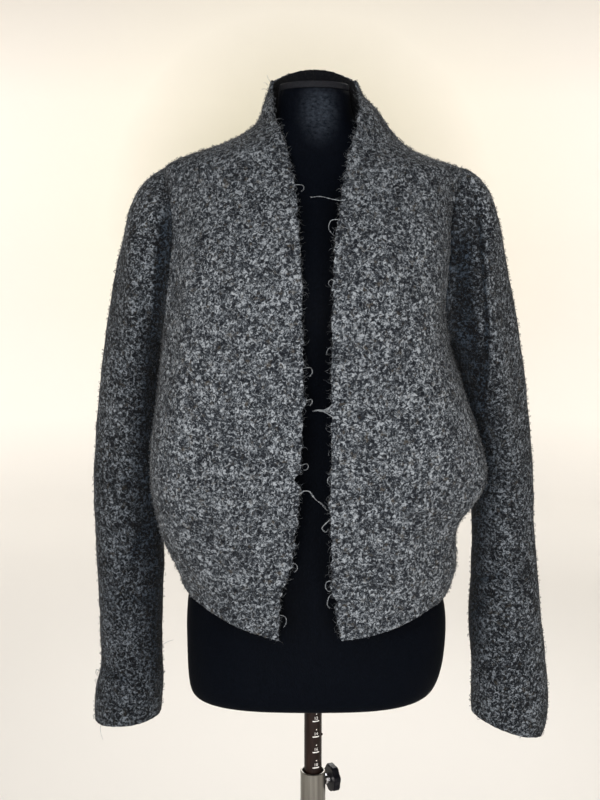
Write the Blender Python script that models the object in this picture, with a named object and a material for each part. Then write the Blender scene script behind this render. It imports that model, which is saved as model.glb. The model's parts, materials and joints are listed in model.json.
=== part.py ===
"""A wool jacket worn by a limbless dress form on a height-adjustable stand.

Blender units are metres and +Z is up. The origin is the middle of the base's underside, on the floor, and the
jacket faces -Y. The tables and sizes below are in millimetres and are turned into metres when a mesh is made.
Left and right are the viewer's, facing the jacket: left is -X.
"""

import math
import random
from collections import namedtuple
from functools import lru_cache

import bmesh
import bpy
from mathutils import Matrix, Vector

MM = 0.001
LEFT = -1
RIGHT = 1
FRONT_CENTRE = 0.0
SIDE = math.pi / 2
BACK_CENTRE = math.pi

# The cloth and its seams
CLOTH = 3.0
SEAM_GAP = 0.4
ARMHOLE_GAP = 0.8

# The dress form, level by level: half widths to its two sides, depths to its front and back, where the widest
# point lies in Y, and how square the section is (2 is an ellipse)
BodyRow = namedtuple("BodyRow", "z left right front back side square_front square_back")
FORM = (
    BodyRow(700, 139, 123, 92, 90, 0, 3.0, 2.6),
    BodyRow(702, 146, 136, 97, 96, 0, 3.0, 2.6),
    BodyRow(708, 150, 146, 103, 103, 0, 3.0, 2.6),
    BodyRow(722, 152, 153, 107, 108, 0, 2.9, 2.6),
    BodyRow(745, 153, 159, 109, 111, 0, 2.8, 2.5),
    BodyRow(790, 154, 162, 109, 112, 0, 2.5, 2.4),
    BodyRow(815, 152, 157, 107, 110, 0, 2.3, 2.3),
    BodyRow(835, 148, 151, 104, 107, 0, 2.3, 2.3),
    BodyRow(870, 136, 142, 98, 99, 0, 2.3, 2.3),
    BodyRow(920, 123, 127, 88, 87, 0, 2.2, 2.2),
    BodyRow(975, 113, 115, 80, 77, 0, 2.2, 2.2),
    BodyRow(1030, 117, 118, 84, 78, 0, 2.2, 2.2),
    BodyRow(1080, 127, 128, 97, 84, 0, 2.2, 2.2),
    BodyRow(1125, 137, 136, 113, 87, 0, 2.3, 2.2),
    BodyRow(1160, 143, 140, 118, 87, 0, 2.4, 2.2),
    BodyRow(1200, 149, 146, 110, 87, 2, 2.3, 2.2),
    BodyRow(1240, 156, 154, 93, 86, 4, 2.2, 2.2),
    BodyRow(1275, 162, 160, 76, 84, 6, 2.2, 2.2),
    BodyRow(1300, 163, 160, 63, 81, 8, 2.2, 2.2),
    BodyRow(1315.5, 160, 154, 57, 78, 8, 2.2, 2.2),
    BodyRow(1323.5, 152, 142, 54, 76, 8, 2.2, 2.2),
    BodyRow(1331.5, 134.5, 117.5, 51, 72, 8, 2.2, 2.2),
    BodyRow(1341.5, 104, 98, 49, 67, 7, 2.1, 2.1),
    BodyRow(1351.5, 81, 82, 47, 62, 6, 2.0, 2.0),
    BodyRow(1360, 64, 66, 45, 57, 4, 2.0, 2.0),
    BodyRow(1370, 50, 50, 44, 53, 3, 2.0, 2.0),
    BodyRow(1380, 43, 43, 44, 50, 2, 2.0, 2.0),
    BodyRow(1404.5, 41, 41, 43, 48, 2, 2.0, 2.0),
)
NECK_CAP_THICK = 7.0
NECK_CAP_INSET = 1.0
SOCKET_DEPTH = 80.0

# The jacket's body, the outer face of the cloth, in the same columns. It hangs from the shoulders and blouses out
# over the hips, further on the right, where the side is pinched in again at 880.
JACKET = (
    BodyRow(796, 155, 158, 120, 124, -8, 2.5, 2.4),
    BodyRow(818, 155, 158, 121, 125, -10, 2.5, 2.4),
    BodyRow(840, 156, 164, 123, 126, -14, 2.5, 2.3),
    BodyRow(860, 162, 167.5, 125, 126, -19, 2.6, 2.2),
    BodyRow(880, 172, 166.5, 127, 125, -24, 2.6, 2.1),
    BodyRow(895, 177, 164, 128, 124, -28, 2.6, 2.0),
    BodyRow(910, 180, 163.5, 129, 122, -32, 2.6, 1.9),
    BodyRow(928, 184, 173, 130, 119, -36, 2.6, 1.8),
    BodyRow(948, 187, 190, 131, 118, -38, 2.6, 1.8),
    BodyRow(978, 190, 198, 132, 115, -38, 2.6, 1.8),
    BodyRow(1015, 187, 189, 133, 111, -36, 2.6, 1.8),
    BodyRow(1055, 181, 176, 133, 108, -32, 2.6, 1.9),
    BodyRow(1090, 177, 165, 133, 105, -26, 2.6, 2.0),
    BodyRow(1125, 174, 155, 133, 103, -20, 2.6, 2.1),
    BodyRow(1160, 172, 154, 131, 102, -14, 2.5, 2.1),
    BodyRow(1195, 173, 162, 125, 102, -8, 2.4, 2.2),
    BodyRow(1230, 173, 169, 112, 101, -2, 2.3, 2.2),
    BodyRow(1265, 174, 172, 97, 98, 3, 2.2, 2.2),
    BodyRow(1295, 174, 173, 84, 94, 6, 2.2, 2.2),
    BodyRow(1318, 175.5, 171, 75, 89, 8, 2.2, 2.2),
    BodyRow(1326, 165, 148, 72, 86, 8, 2.2, 2.2),
    BodyRow(1334, 143, 121, 70, 82, 8, 2.2, 2.2),
    BodyRow(1346, 104, 102, 67, 77, 7, 2.1, 2.1),
    BodyRow(1358, 81, 92, 64, 72, 5, 2.0, 2.0),
    BodyRow(1368, 66, 84, 61, 68, 4, 2.0, 2.0),
    BodyRow(1382, 60, 75, 58, 66, 3, 2.0, 2.0),
    BodyRow(1398, 55, 58, 55, 65, 3, 2.0, 2.0),
    BodyRow(1414, 50, 50, 53, 66, 3, 2.0, 2.0),
    BodyRow(1438, 47, 48, 52, 68, 3, 2.0, 2.0),
)

# How far the two raw front edges lie from the middle, up to the sides of the neck
EdgeRow = namedtuple("EdgeRow", "z left right")
FRONT_EDGE = (
    EdgeRow(796, 40, 30),
    EdgeRow(844, 38, 21),
    EdgeRow(872, 30, 19),
    EdgeRow(923, 21, 18),
    EdgeRow(968, 17, 17),
    EdgeRow(1012, 14, 18),
    EdgeRow(1132, 13, 18),
    EdgeRow(1216, 15, 20),
    EdgeRow(1259, 18, 25),
    EdgeRow(1301, 23, 31.5),
    EdgeRow(1334, 30, 38.5),
    EdgeRow(1356, 38, 45.5),
    EdgeRow(1380, 47, 51),
    EdgeRow(1402, 50, 52),
    EdgeRow(1438, 48, 50),
)
EDGE_FURTHEST = math.radians(72)

# The hem climbs from the front corners to the side seams and falls a little to the back
HEM_CORNER = 796.0
HEM_RISE = {LEFT: 43.0, RIGHT: 36.0}
HEM_CURVE = {LEFT: 1.3, RIGHT: 1.6}
HEM_BACK_FALL = 8.0

# The armhole, an oval in the side view, and the neck seam and collar edge at the back
ARMHOLE_TOP = 1318.0
ARMHOLE_BOTTOM = 1120.0
ARMHOLE_FRONT = 50.0
ARMHOLE_BACK = 52.0
ARMHOLE_STEPS = 10
NECK_POINT = 1368.0
NECK_SEAM_BACK_RISE = 9.0
COLLAR_SIDE_TOP = 1415.0
COLLAR_BACK_TOP = 1438.0

BODY_LEVELS = (796, 813, 830, 847, 864, 881, 898, 915, 932, 952, 980, 1014, 1050, 1086, 1120)
SHOULDER_LEVELS = (1326, 1334, 1346, 1358, 1368)
COLLAR_STEPS = 5
FRONT_COLUMNS = 10
COLLAR_BACK_COLUMNS = 6
BACK_COLUMNS = 9

# The large soft folds: where each is centred along the ring (0 front, 180 back, in degrees), between which heights
# it runs, how deep it goes in (a ridge is negative) and how wide it is to either side
Fold = namedtuple("Fold", "side angle low high depth width lean")
BODY_FOLDS = (
    Fold(LEFT, 62, 1090, 1290, 5.0, 7, -8),
    Fold(LEFT, 38, 880, 1120, 3.0, 9, 6),
    Fold(LEFT, 112, 900, 1200, 6.0, 11, 6),
    Fold(LEFT, 140, 840, 1130, -5.0, 10, -8),
    Fold(LEFT, 163, 900, 1240, 5.0, 8, 4),
    Fold(RIGHT, 66, 1150, 1300, 5.0, 7, -6),
    Fold(RIGHT, 52, 850, 1010, 4.0, 9, 16),
    Fold(RIGHT, 76, 900, 1000, -4.0, 9, 0),
    Fold(RIGHT, 108, 880, 1180, 7.0, 11, -5),
    Fold(RIGHT, 134, 850, 1160, -6.0, 10, 7),
    Fold(RIGHT, 158, 870, 1220, 5.0, 8, -5),
)

# Each sleeve, ring by ring: its outermost point and its innermost point, where its middle lies in Y, and its half
# depth. The first ring is the armhole.
SleeveRow = namedtuple("SleeveRow", "outer_x outer_z inner_x inner_z middle_y half_depth")
SLEEVES = {
    LEFT: (
        SleeveRow(190, 1315, 178, 1120, 1, 54),
        SleeveRow(206, 1302, 180, 1115, 2, 56),
        SleeveRow(215, 1279, 179, 1104, 4, 57),
        SleeveRow(222, 1247, 180, 1088, 7, 57),
        SleeveRow(231, 1208, 181, 1067, 11, 55),
        SleeveRow(240, 1167, 181, 1043, 15, 52),
        SleeveRow(248, 1122, 181, 1015, 19, 49),
        SleeveRow(256, 1070, 182, 982, 24, 46),
        SleeveRow(263, 1014, 182, 945, 28, 43),
        SleeveRow(268, 957, 183, 905, 31, 41),
        SleeveRow(269, 902, 182, 864, 32, 39),
        SleeveRow(266, 848, 184, 823, 31, 38),
        SleeveRow(265, 793, 186, 780, 29, 37),
        SleeveRow(264, 746, 187, 742, 27, 36),
        SleeveRow(262, 718, 186, 716, 26, 36),
        SleeveRow(268, 699, 185, 698, 25, 38),
        SleeveRow(273, 680, 187, 680, 24, 39),
        SleeveRow(272, 646, 189, 655, 23, 39),
    ),
    RIGHT: (
        SleeveRow(188, 1316, 162, 1120, 1, 54),
        SleeveRow(207, 1303, 165, 1115, 2, 56),
        SleeveRow(214, 1281, 166, 1104, 4, 57),
        SleeveRow(219, 1249, 169, 1088, 7, 57),
        SleeveRow(226, 1210, 173, 1067, 11, 56),
        SleeveRow(236, 1167, 178, 1043, 16, 54),
        SleeveRow(246, 1123, 183, 1015, 22, 51),
        SleeveRow(254, 1077, 189, 982, 28, 48),
        SleeveRow(261, 1026, 192, 945, 33, 45),
        SleeveRow(269, 970, 194, 905, 36, 42),
        SleeveRow(271, 912, 197, 864, 37, 40),
        SleeveRow(275, 856, 195, 823, 37, 39),
        SleeveRow(281, 803, 193, 785, 35, 39),
        SleeveRow(286, 757, 194, 748, 32, 39),
        SleeveRow(291, 716, 197, 714, 29, 40),
        SleeveRow(295, 683, 197, 690, 27, 41),
        SleeveRow(294, 645, 197, 668, 26, 41),
        SleeveRow(288, 626, 198, 655, 25, 40),
    ),
}
SLEEVE_MELD_RINGS = 3
SLEEVE_FOLDS = (
    Fold(LEFT, 118, 1040, 1230, 7.0, 16, 0),
    Fold(LEFT, 60, 930, 1010, 4.0, 22, 18),
    Fold(LEFT, 250, 980, 1200, 6.0, 18, 10),
    Fold(RIGHT, 58, 1030, 1290, 9.0, 13, 18),
    Fold(RIGHT, 112, 1120, 1290, 7.0, 14, 0),
    Fold(RIGHT, 70, 880, 960, 4.0, 22, -14),
    Fold(RIGHT, 255, 980, 1200, 6.0, 18, -10),
)
SLEEVE_FOLD_FADE = 45.0
BODY_FOLD_FADE = 60.0

# The frayed warp ends along the front edges: a narrow strip and the locks that stand out of it
FRAY_STRIP = 1.6
FRAY_THICK = 1.8
FRAY_GAP = 0.35
FRAY_PITCH = 17.0
FRAY_ROOT = 3.0
FRAY_SHORT = 3.0
FRAY_LONG = 7.0
FRAY_LEAN = 3.0
FRAY_SEED = 7

# The stand
BASE_RADIUS = 170.0
BASE_THICK = 6.0
BASE_EDGE = 2.0
HUB_RADIUS = 24.0
HUB_HEIGHT = 22.0
TUBE_RADIUS = 15.5
TUBE_BORE = 13.4
TUBE_TOP = 587.5
POLE_RADIUS = 10.8
POLE_BOTTOM = 250.0
RUNNING_GAP = 0.3
KNOB_HEIGHT = 572.5
KNOB_TURN = math.radians(24)
KNOB_RADIUS = 17.5
KNOB_THICK = 9.0
KNOB_NEAR = 22.0
KNOB_LOBES = 7
KNOB_LOBE_DEPTH = 1.7
KNOB_SOCKET = 6.0
SCREW_RADIUS = 3.0
NUT_RADIUS = 6.5
ROUND_SIDES = 32
BASE_SIDES = 48
FORM_SIDES = 28


def clear_scene():
    for item in list(bpy.data.objects):
        bpy.data.objects.remove(item)


def material(name, colour, roughness, metallic=0.0):
    made = bpy.data.materials.new(name)
    made.use_nodes = True
    shader = made.node_tree.nodes["Principled BSDF"]
    shader.inputs["Base Color"].default_value = (*colour, 1.0)
    shader.inputs["Roughness"].default_value = roughness
    shader.inputs["Metallic"].default_value = metallic
    return made


def finish(name, mesh, look, smooth_angle=40):
    """Names a mesh's object, gives it its material and rounds its shading."""
    mesh.materials.append(look)
    mesh.shade_smooth()
    mesh.set_sharp_from_angle(angle=math.radians(smooth_angle))
    made = bpy.data.objects.new(name, mesh)
    bpy.context.collection.objects.link(made)
    return made


@lru_cache(maxsize=None)
def slopes(rows, column):
    """The slope at each row of a column, kept small enough that the curve never overshoots the rows."""
    heights = [row.z for row in rows]
    values = [getattr(row, column) for row in rows]
    chords = [
        (values[i + 1] - values[i]) / (heights[i + 1] - heights[i]) for i in range(len(rows) - 1)
    ]
    found = [chords[0]]
    for before, after in zip(chords, chords[1:]):
        level = before * after <= 0
        found.append(0.0 if level else 2 * before * after / (before + after))
    return heights, values, found + [chords[-1]]


def eased(rows, column, height):
    """A table's column at a height, on a smooth curve through its rows."""
    heights, values, slope = slopes(rows, column)
    height = min(max(height, heights[0]), heights[-1])
    i = max(k for k in range(len(rows) - 1) if heights[k] <= height)
    span = heights[i + 1] - heights[i]
    t = (height - heights[i]) / span
    return (
        values[i] * (1 + 2 * t) * (1 - t) ** 2
        + slope[i] * span * t * (1 - t) ** 2
        + values[i + 1] * t * t * (3 - 2 * t)
        + slope[i + 1] * span * t * t * (t - 1)
    )


def ring_point(rows, side, angle, height):
    """A point of a body's section at a height: angle 0 is the front, a half turn the back."""
    wide = eased(rows, "left" if side == LEFT else "right", height)
    side_y = eased(rows, "side", height)
    if angle <= SIDE:
        power = 2 / eased(rows, "square_front", height)
        y = side_y - (eased(rows, "front", height) + side_y) * abs(math.cos(angle)) ** power
    else:
        power = 2 / eased(rows, "square_back", height)
        y = side_y + (eased(rows, "back", height) - side_y) * abs(math.cos(angle)) ** power
    return Vector((side * wide * abs(math.sin(angle)) ** power, y, height))


def bump(distance, width):
    """A soft hump, 1 in the middle."""
    return math.exp(-((distance / width) ** 2))


def run(height, low, high, fade):
    """1 between two heights, easing to 0 beyond them."""
    outside = max(low - height, height - high, 0.0)
    return max(0.0, 1 - outside / fade) ** 2


def fold_depth(folds, side, degrees, height, fade):
    """How far the cloth lies inside its smooth form here, where folds run."""
    depth = 0.0
    for fold in folds:
        along = (height - fold.low) / (fold.high - fold.low) - 0.5
        away = (degrees - fold.angle - fold.lean * along + 180) % 360 - 180
        if fold.side == side:
            depth += fold.depth * bump(away, fold.width) * run(height, fold.low, fold.high, fade)
    return depth


def outward(point, side, angle, height):
    """The outward normal of a surface given as a function of side, angle and height."""
    step_angle, step_height = 0.02, 1.5
    around = point(side, angle + step_angle, height) - point(side, angle - step_angle, height)
    up = point(side, angle, height + step_height) - point(side, angle, height - step_height)
    return (around.cross(up) * side).normalized()


def smooth_jacket(side, angle, height):
    """The jacket's form before its folds, beyond the centre lines too."""
    if angle < FRONT_CENTRE:
        return ring_point(JACKET, -side, -angle, height)
    if angle > BACK_CENTRE:
        return ring_point(JACKET, -side, 2 * BACK_CENTRE - angle, height)
    return ring_point(JACKET, side, angle, height)


def jacket_point(side, angle, height):
    """The outer face of the jacket's cloth, folds included."""
    depth = fold_depth(BODY_FOLDS, side, math.degrees(angle), height, BODY_FOLD_FADE)
    point = smooth_jacket(side, angle, height)
    return point - outward(smooth_jacket, side, angle, height) * depth if depth else point


def edge_angle(side, height):
    """Where along the ring the raw front edge lies."""
    x = eased(FRONT_EDGE, "left" if side == LEFT else "right", height)
    wide = eased(JACKET, "left" if side == LEFT else "right", height)
    square = eased(JACKET, "square_front", height)
    return min(math.asin(min(1.0, x / wide) ** (square / 2)), EDGE_FURTHEST)


def hem_height(side, angle):
    x = abs(ring_point(JACKET, side, angle, HEM_CORNER).x)
    corner = eased(FRONT_EDGE, "left" if side == LEFT else "right", HEM_CORNER)
    wide = eased(JACKET, "left" if side == LEFT else "right", HEM_CORNER)
    top = HEM_CORNER + HEM_RISE[side]
    if angle > SIDE:
        mean_top = HEM_CORNER + (HEM_RISE[LEFT] + HEM_RISE[RIGHT]) / 2
        share = math.sin(angle) ** 2
        return top * share + (mean_top - HEM_BACK_FALL) * (1 - share)
    return HEM_CORNER + HEM_RISE[side] * max(0.0, (x - corner) / (wide - corner)) ** HEM_CURVE[side]


def body_height(level, side, angle):
    """A level of the lower body, stretched so that the lowest one follows the hem."""
    hem = hem_height(side, angle)
    return hem + (level - HEM_CORNER) * (ARMHOLE_BOTTOM - hem) / (ARMHOLE_BOTTOM - HEM_CORNER)


def armhole_height(turn):
    """The armhole's height at a turn from its top, 0, to its bottom, a half turn."""
    return (ARMHOLE_TOP + ARMHOLE_BOTTOM) / 2 + (ARMHOLE_TOP - ARMHOLE_BOTTOM) / 2 * math.cos(turn)


def armhole_angle(side, turn):
    """The ring angle of the armhole's edge: before the side in front, after it behind."""
    height = armhole_height(turn)
    side_y = eased(JACKET, "side", height)
    if math.sin(turn) >= 0:
        reach = ARMHOLE_FRONT * math.sin(turn) / (eased(JACKET, "front", height) + side_y)
        return math.acos(min(1.0, reach) ** (eased(JACKET, "square_front", height) / 2))
    reach = -ARMHOLE_BACK * math.sin(turn) / (eased(JACKET, "back", height) - side_y)
    return math.pi - math.acos(min(1.0, reach) ** (eased(JACKET, "square_back", height) / 2))


def armhole_turn(height):
    middle = (ARMHOLE_TOP + ARMHOLE_BOTTOM) / 2
    return math.acos(max(-1.0, min(1.0, (height - middle) * 2 / (ARMHOLE_TOP - ARMHOLE_BOTTOM))))


class Cloth:
    """A cloth wall made from shared points, their normals and the quads between them."""

    def __init__(self):
        self.points = []
        self.normals = []
        self.quads = []

    def add(self, point, normal):
        self.points.append(point)
        self.normals.append(normal)
        return len(self.points) - 1

    def join_rows(self, lower, upper, flip):
        for i in range(len(lower) - 1):
            quad = (lower[i], lower[i + 1], upper[i + 1], upper[i])
            self.quads.append(quad[::-1] if flip else quad)

    def mesh(self, name, thick=CLOTH):
        """The closed wall: outer face, inner face a thickness inside it, and a rim along each free edge."""
        count = len(self.points)
        inner = [p - n * thick for p, n in zip(self.points, self.normals)]
        triangles = []
        for a, b, c, d in self.quads:
            triangles += [(a, b, c), (a, c, d)]
        edges = {(t[i], t[(i + 1) % 3]) for t in triangles for i in range(3)}
        faces = triangles + [tuple(i + count for i in reversed(t)) for t in triangles]
        for a, b in sorted(edges):
            if (b, a) not in edges:
                faces += [(b, a, a + count), (b, a + count, b + count)]
        made = bpy.data.meshes.new(name)
        made.from_pydata([p * MM for p in self.points + inner], [], faces)
        made.validate()
        return made


def jacket_vertex(cloth, side, angle, height, shift=Vector()):
    normal = outward(jacket_point, side, angle, height)
    return cloth.add(jacket_point(side, angle, height) + shift, normal)


def spread(first, last, count):
    return [first + (last - first) * i / count for i in range(count + 1)]


def front_rows(side):
    """The rows of a front from hem to neck: for each, its height function and its outer ring angle."""
    rows = [(lambda a, v=level: body_height(v, side, a), SIDE) for level in BODY_LEVELS]
    for step in range(ARMHOLE_STEPS - 1, 0, -1):
        turn = math.pi * step / ARMHOLE_STEPS
        rows.append((lambda a, v=armhole_height(turn): v, armhole_angle(side, turn)))
    rows.append((lambda a: ARMHOLE_TOP, SIDE))
    rows += [(lambda a, v=level: v, SIDE) for level in SHOULDER_LEVELS]
    return rows


def collar_height(share, angle):
    """A height on the collar, from the neck seam to the free edge, which rises to the back."""
    behind = max(0.0, -math.cos(angle)) ** 1.5 if angle > SIDE else 0.0
    low = NECK_POINT + NECK_SEAM_BACK_RISE * behind
    high = COLLAR_SIDE_TOP + (COLLAR_BACK_TOP - COLLAR_SIDE_TOP) * behind
    return low + (high - low) * share


def front_panel(side):
    """A front, cut in one with its half of the standing collar, which goes round to the centre back.

    Beside the cloth it gives the points of its raw edge, and for each of them a point further into the cloth.
    """
    cloth = Cloth()
    to_front = Vector((0, -SEAM_GAP / 2, 0))
    off_centre = Vector((side * SEAM_GAP / 2, 0, 0))
    rows = []
    for height, outer in front_rows(side):
        angles = spread(edge_angle(side, height(0.1)), outer, FRONT_COLUMNS)
        seam = outer == SIDE and height(SIDE) < NECK_POINT
        shifts = [Vector()] * FRONT_COLUMNS + [to_front if seam else Vector()]
        rows.append([jacket_vertex(cloth, side, a, height(a), s) for a, s in zip(angles, shifts)])
    behind = spread(SIDE, BACK_CENTRE, COLLAR_BACK_COLUMNS)[1:]
    collar = []
    for step in range(COLLAR_STEPS + 1):
        share = step / COLLAR_STEPS
        ahead = spread(edge_angle(side, collar_height(share, SIDE)), SIDE, FRONT_COLUMNS)
        row = list(rows[-1])
        if step:
            row = [jacket_vertex(cloth, side, a, collar_height(share, a)) for a in ahead]
        for a in behind:
            shift = off_centre if a == behind[-1] else Vector()
            row.append(jacket_vertex(cloth, side, a, collar_height(share, a), shift))
        collar.append(row)
    for lower, upper in list(zip(rows, rows[1:])) + list(zip(collar, collar[1:])):
        cloth.join_rows(lower, upper, flip=side == LEFT)
    up_front = rows + collar[1:]
    edge = [row[0] for row in up_front] + collar[-1][1:]
    inside = [row[1] for row in up_front[:-1]] + [collar[-2][1]] + collar[-2][1:]
    return cloth, edge, inside


def back_panel():
    """The back, one piece from side seam to side seam, up to the shoulder seams and the neck seam."""
    cloth = Cloth()
    to_back = Vector((0, SEAM_GAP / 2, 0))
    rows = []
    tops = len(front_rows(LEFT)) - 1
    for number in range(tops + 1):
        row = []
        for side in (LEFT, RIGHT):
            height, outer = front_rows(side)[number]
            armhole = outer != SIDE
            start = armhole_angle(side, -armhole_turn(height(0.0))) if armhole else SIDE
            angles = spread(start, BACK_CENTRE, BACK_COLUMNS)
            if side == RIGHT:
                angles = angles[:-1][::-1]
            for a in angles:
                at = height(a)
                shift = Vector()
                if number == tops:
                    at = collar_height(0, a)
                    down = jacket_point(side, a, at - 1.5) - jacket_point(side, a, at)
                    shift = down.normalized() * SEAM_GAP
                if a == start and not armhole:
                    shift += to_back
                row.append(jacket_vertex(cloth, side, a, at, shift))
        rows.append(row)
    for lower, upper in zip(rows, rows[1:]):
        cloth.join_rows(lower, upper, flip=True)
    return cloth


def sleeve_ring_point(side, row, turn):
    outer = Vector((side * row.outer_x, row.middle_y, row.outer_z))
    inner = Vector((side * row.inner_x, row.middle_y, row.inner_z))
    forward = Vector((0, -row.half_depth, 0))
    return (outer + inner) / 2 + (outer - inner) / 2 * math.cos(turn) + forward * math.sin(turn)


def sleeve_point(side, ring, turn):
    """A point of a sleeve's outer face. Ring 0 is the armhole, and the first few rings meld into it."""
    at_armhole = jacket_point(side, armhole_angle(side, turn), armhole_height(turn))
    if ring == 0:
        return at_armhole
    row = SLEEVES[side][ring - 1]
    share = min(1.0, ring / SLEEVE_MELD_RINGS)
    meld = share * share * (3 - 2 * share)
    point = sleeve_ring_point(side, row, turn)
    middle = (point + sleeve_ring_point(side, row, turn + math.pi)) / 2
    depth = fold_depth(SLEEVE_FOLDS, side, math.degrees(turn), point.z, SLEEVE_FOLD_FADE)
    return at_armhole.lerp(point + (middle - point).normalized() * depth, meld)


def sleeve(side):
    """A one-piece sleeve, set into the armhole and hanging at the side, with no arm in it."""
    cloth = Cloth()
    turns = [2 * math.pi * i / (2 * ARMHOLE_STEPS) for i in range(2 * ARMHOLE_STEPS)]
    count = len(turns)
    rings = [[sleeve_point(side, ring, turn) for turn in turns] for ring in range(len(SLEEVES[side]) + 1)]
    middle = sum(rings[0], Vector()) / count
    indices = []
    for number, ring in enumerate(rings):
        row = []
        for i, turn in enumerate(turns):
            around = ring[(i + 1) % count] - ring[i - 1]
            ahead = rings[min(number + 1, len(rings) - 1)][i] - rings[max(number - 1, 0)][i]
            normal = (around.cross(ahead) * side).normalized()
            point = ring[i].copy()
            if number == 0:
                height = armhole_height(turn)
                of_body = outward(jacket_point, side, armhole_angle(side, turn), height)
                share = (1 + math.cos(turn)) / 2
                normal = (of_body * share + normal * (1 - share)).normalized()
                point += (middle - point).normalized() * ARMHOLE_GAP
            row.append(cloth.add(point, normal))
        indices.append(row + row[:1])
    for lower, upper in zip(indices, indices[1:]):
        cloth.join_rows(lower, upper, flip=side == LEFT)
    return cloth


def fray_stations(points, normals, body):
    """Stations along an edge: the point, its normal, its way outward, and whether a lock grows from here on."""
    outs = []
    for i, point in enumerate(points):
        ways = []
        for before, after in (points[i - 1 : i + 1], points[i : i + 2]) if 0 < i < len(points) - 1 else ():
            way = (after - before).cross(normals[i]).normalized()
            ways.append(way if way.dot(point - body[i]) > 0 else -way)
        if not ways:
            near = points[1] if i == 0 else points[-2]
            way = (point - near).cross(normals[i]).normalized()
            ways.append(way if way.dot(point - body[i]) > 0 else -way)
        mitre = sum(ways, Vector()).normalized()
        outs.append(mitre / max(0.5, mitre.dot(ways[0])))
    stations = []
    for i in range(len(points) - 1):
        length = (points[i + 1] - points[i]).length
        locks = max(1, round(length / FRAY_PITCH))
        marks = [(0.0, False)]
        for k in range(locks):
            middle = (k + 0.5) / locks
            marks += [(middle - FRAY_ROOT / length / 2, True), (middle + FRAY_ROOT / length / 2, False)]
        for t, lock in marks:
            stations.append(
                (
                    points[i].lerp(points[i + 1], t),
                    normals[i].lerp(normals[i + 1], t).normalized(),
                    outs[i].lerp(outs[i + 1], t),
                    lock,
                )
            )
    return stations + [(points[-1], normals[-1], outs[-1], False)]


def fray(name, side, cloth, edge, inside):
    """Loose yarn ends along a raw edge: tapered locks fused to a narrow strip beside the cloth."""
    chance = random.Random(FRAY_SEED + side)
    points = [cloth.points[i] for i in edge]
    normals = [cloth.normals[i] for i in edge]
    stations = fray_stations(points, normals, [cloth.points[i] for i in inside])
    corners = []
    faces = []
    sunk = (CLOTH - FRAY_THICK) / 2
    for point, normal, out, _ in stations:
        near = point + out * FRAY_GAP - normal * sunk
        far = near + out * FRAY_STRIP
        corners += [near, near - normal * FRAY_THICK, far - normal * FRAY_THICK, far]
    for i in range(len(stations) - 1):
        a = 4 * i
        sides = [(a + k, a + (k + 1) % 4, a + 4 + (k + 1) % 4, a + 4 + k) for k in range(4)]
        if stations[i][3]:
            root = sides.pop(2)
            middle = sum((corners[k] for k in root), Vector()) / 4
            out = stations[i][2] * chance.uniform(FRAY_SHORT, FRAY_LONG)
            lean = (corners[a + 4] - corners[a]).normalized() * chance.uniform(-FRAY_LEAN, FRAY_LEAN)
            corners.append(middle + out + lean)
            tip = len(corners) - 1
            faces += [(root[k], root[(k + 1) % 4], tip) for k in range(4)]
        faces += sides
    last = len(stations) * 4 - 4
    faces += [(3, 2, 1, 0), (last, last + 1, last + 2, last + 3)]
    made = bpy.data.meshes.new(name)
    made.from_pydata([p * MM for p in corners], [], faces)
    return closed(made)


def closed(made):
    """Turns all of a closed mesh's faces outward."""
    shape = bmesh.new()
    shape.from_mesh(made)
    bmesh.ops.recalc_face_normals(shape, faces=shape.faces)
    shape.to_mesh(made)
    shape.free()
    return made


def turned(name, profile, sides=ROUND_SIDES, lobes=0, lobe_depth=0.0):
    """A turned solid about Z from an outline of (radius, height). A radius of 0 closes it on the axis."""
    shape = bmesh.new()
    rings = []
    widest = max(radius for radius, _ in profile)
    turns = [2 * math.pi * i / sides for i in range(sides)]
    for radius, height in profile:
        if radius == 0:
            rings.append([shape.verts.new((0, 0, height * MM))])
            continue
        ring = []
        for turn in turns:
            cut = lobe_depth * (1 - math.cos(lobes * turn)) / 2 if radius > widest * 0.7 else 0
            reach = (radius - cut) * MM
            ring.append(shape.verts.new((reach * math.cos(turn), reach * math.sin(turn), height * MM)))
        rings.append(ring)
    for low, high in zip(rings, rings[1:] + rings[:1]):
        if len(low) == len(high) == 1:
            continue
        for i in range(sides):
            j = (i + 1) % sides
            quad = [low[i % len(low)], low[j % len(low)], high[j % len(high)], high[i % len(high)]]
            shape.faces.new(list(dict.fromkeys(quad)))
    bmesh.ops.recalc_face_normals(shape, faces=shape.faces)
    made = bpy.data.meshes.new(name)
    shape.to_mesh(made)
    shape.free()
    return made


def torso_mesh(name):
    """The torso and neck, with a blind socket up into its underside for the pole."""
    shape = bmesh.new()
    turns = [2 * math.pi * i / FORM_SIDES for i in range(FORM_SIDES)]

    def level(points):
        return [shape.verts.new(p * MM) for p in points]

    bore = POLE_RADIUS + RUNNING_GAP
    bottom = FORM[0].z
    socket = [Vector((bore * math.sin(t), -bore * math.cos(t), 0)) for t in turns]
    rings = [level([Vector((0, 0, bottom + SOCKET_DEPTH))])]
    rings.append(level([p + Vector((0, 0, bottom + SOCKET_DEPTH)) for p in socket]))
    rings.append(level([p + Vector((0, 0, bottom)) for p in socket]))
    for row in FORM:
        rings.append(level([form_point(t, row.z) for t in turns]))
    rings.append(level([Vector((0, (FORM[-1].back - FORM[-1].front) / 2, FORM[-1].z))]))
    for low, high in zip(rings, rings[1:]):
        for i in range(FORM_SIDES):
            j = (i + 1) % FORM_SIDES
            quad = [low[i % len(low)], low[j % len(low)], high[j % len(high)], high[i % len(high)]]
            shape.faces.new(list(dict.fromkeys(quad)))
    bmesh.ops.recalc_face_normals(shape, faces=shape.faces)
    made = bpy.data.meshes.new(name)
    shape.to_mesh(made)
    shape.free()
    return made


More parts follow.
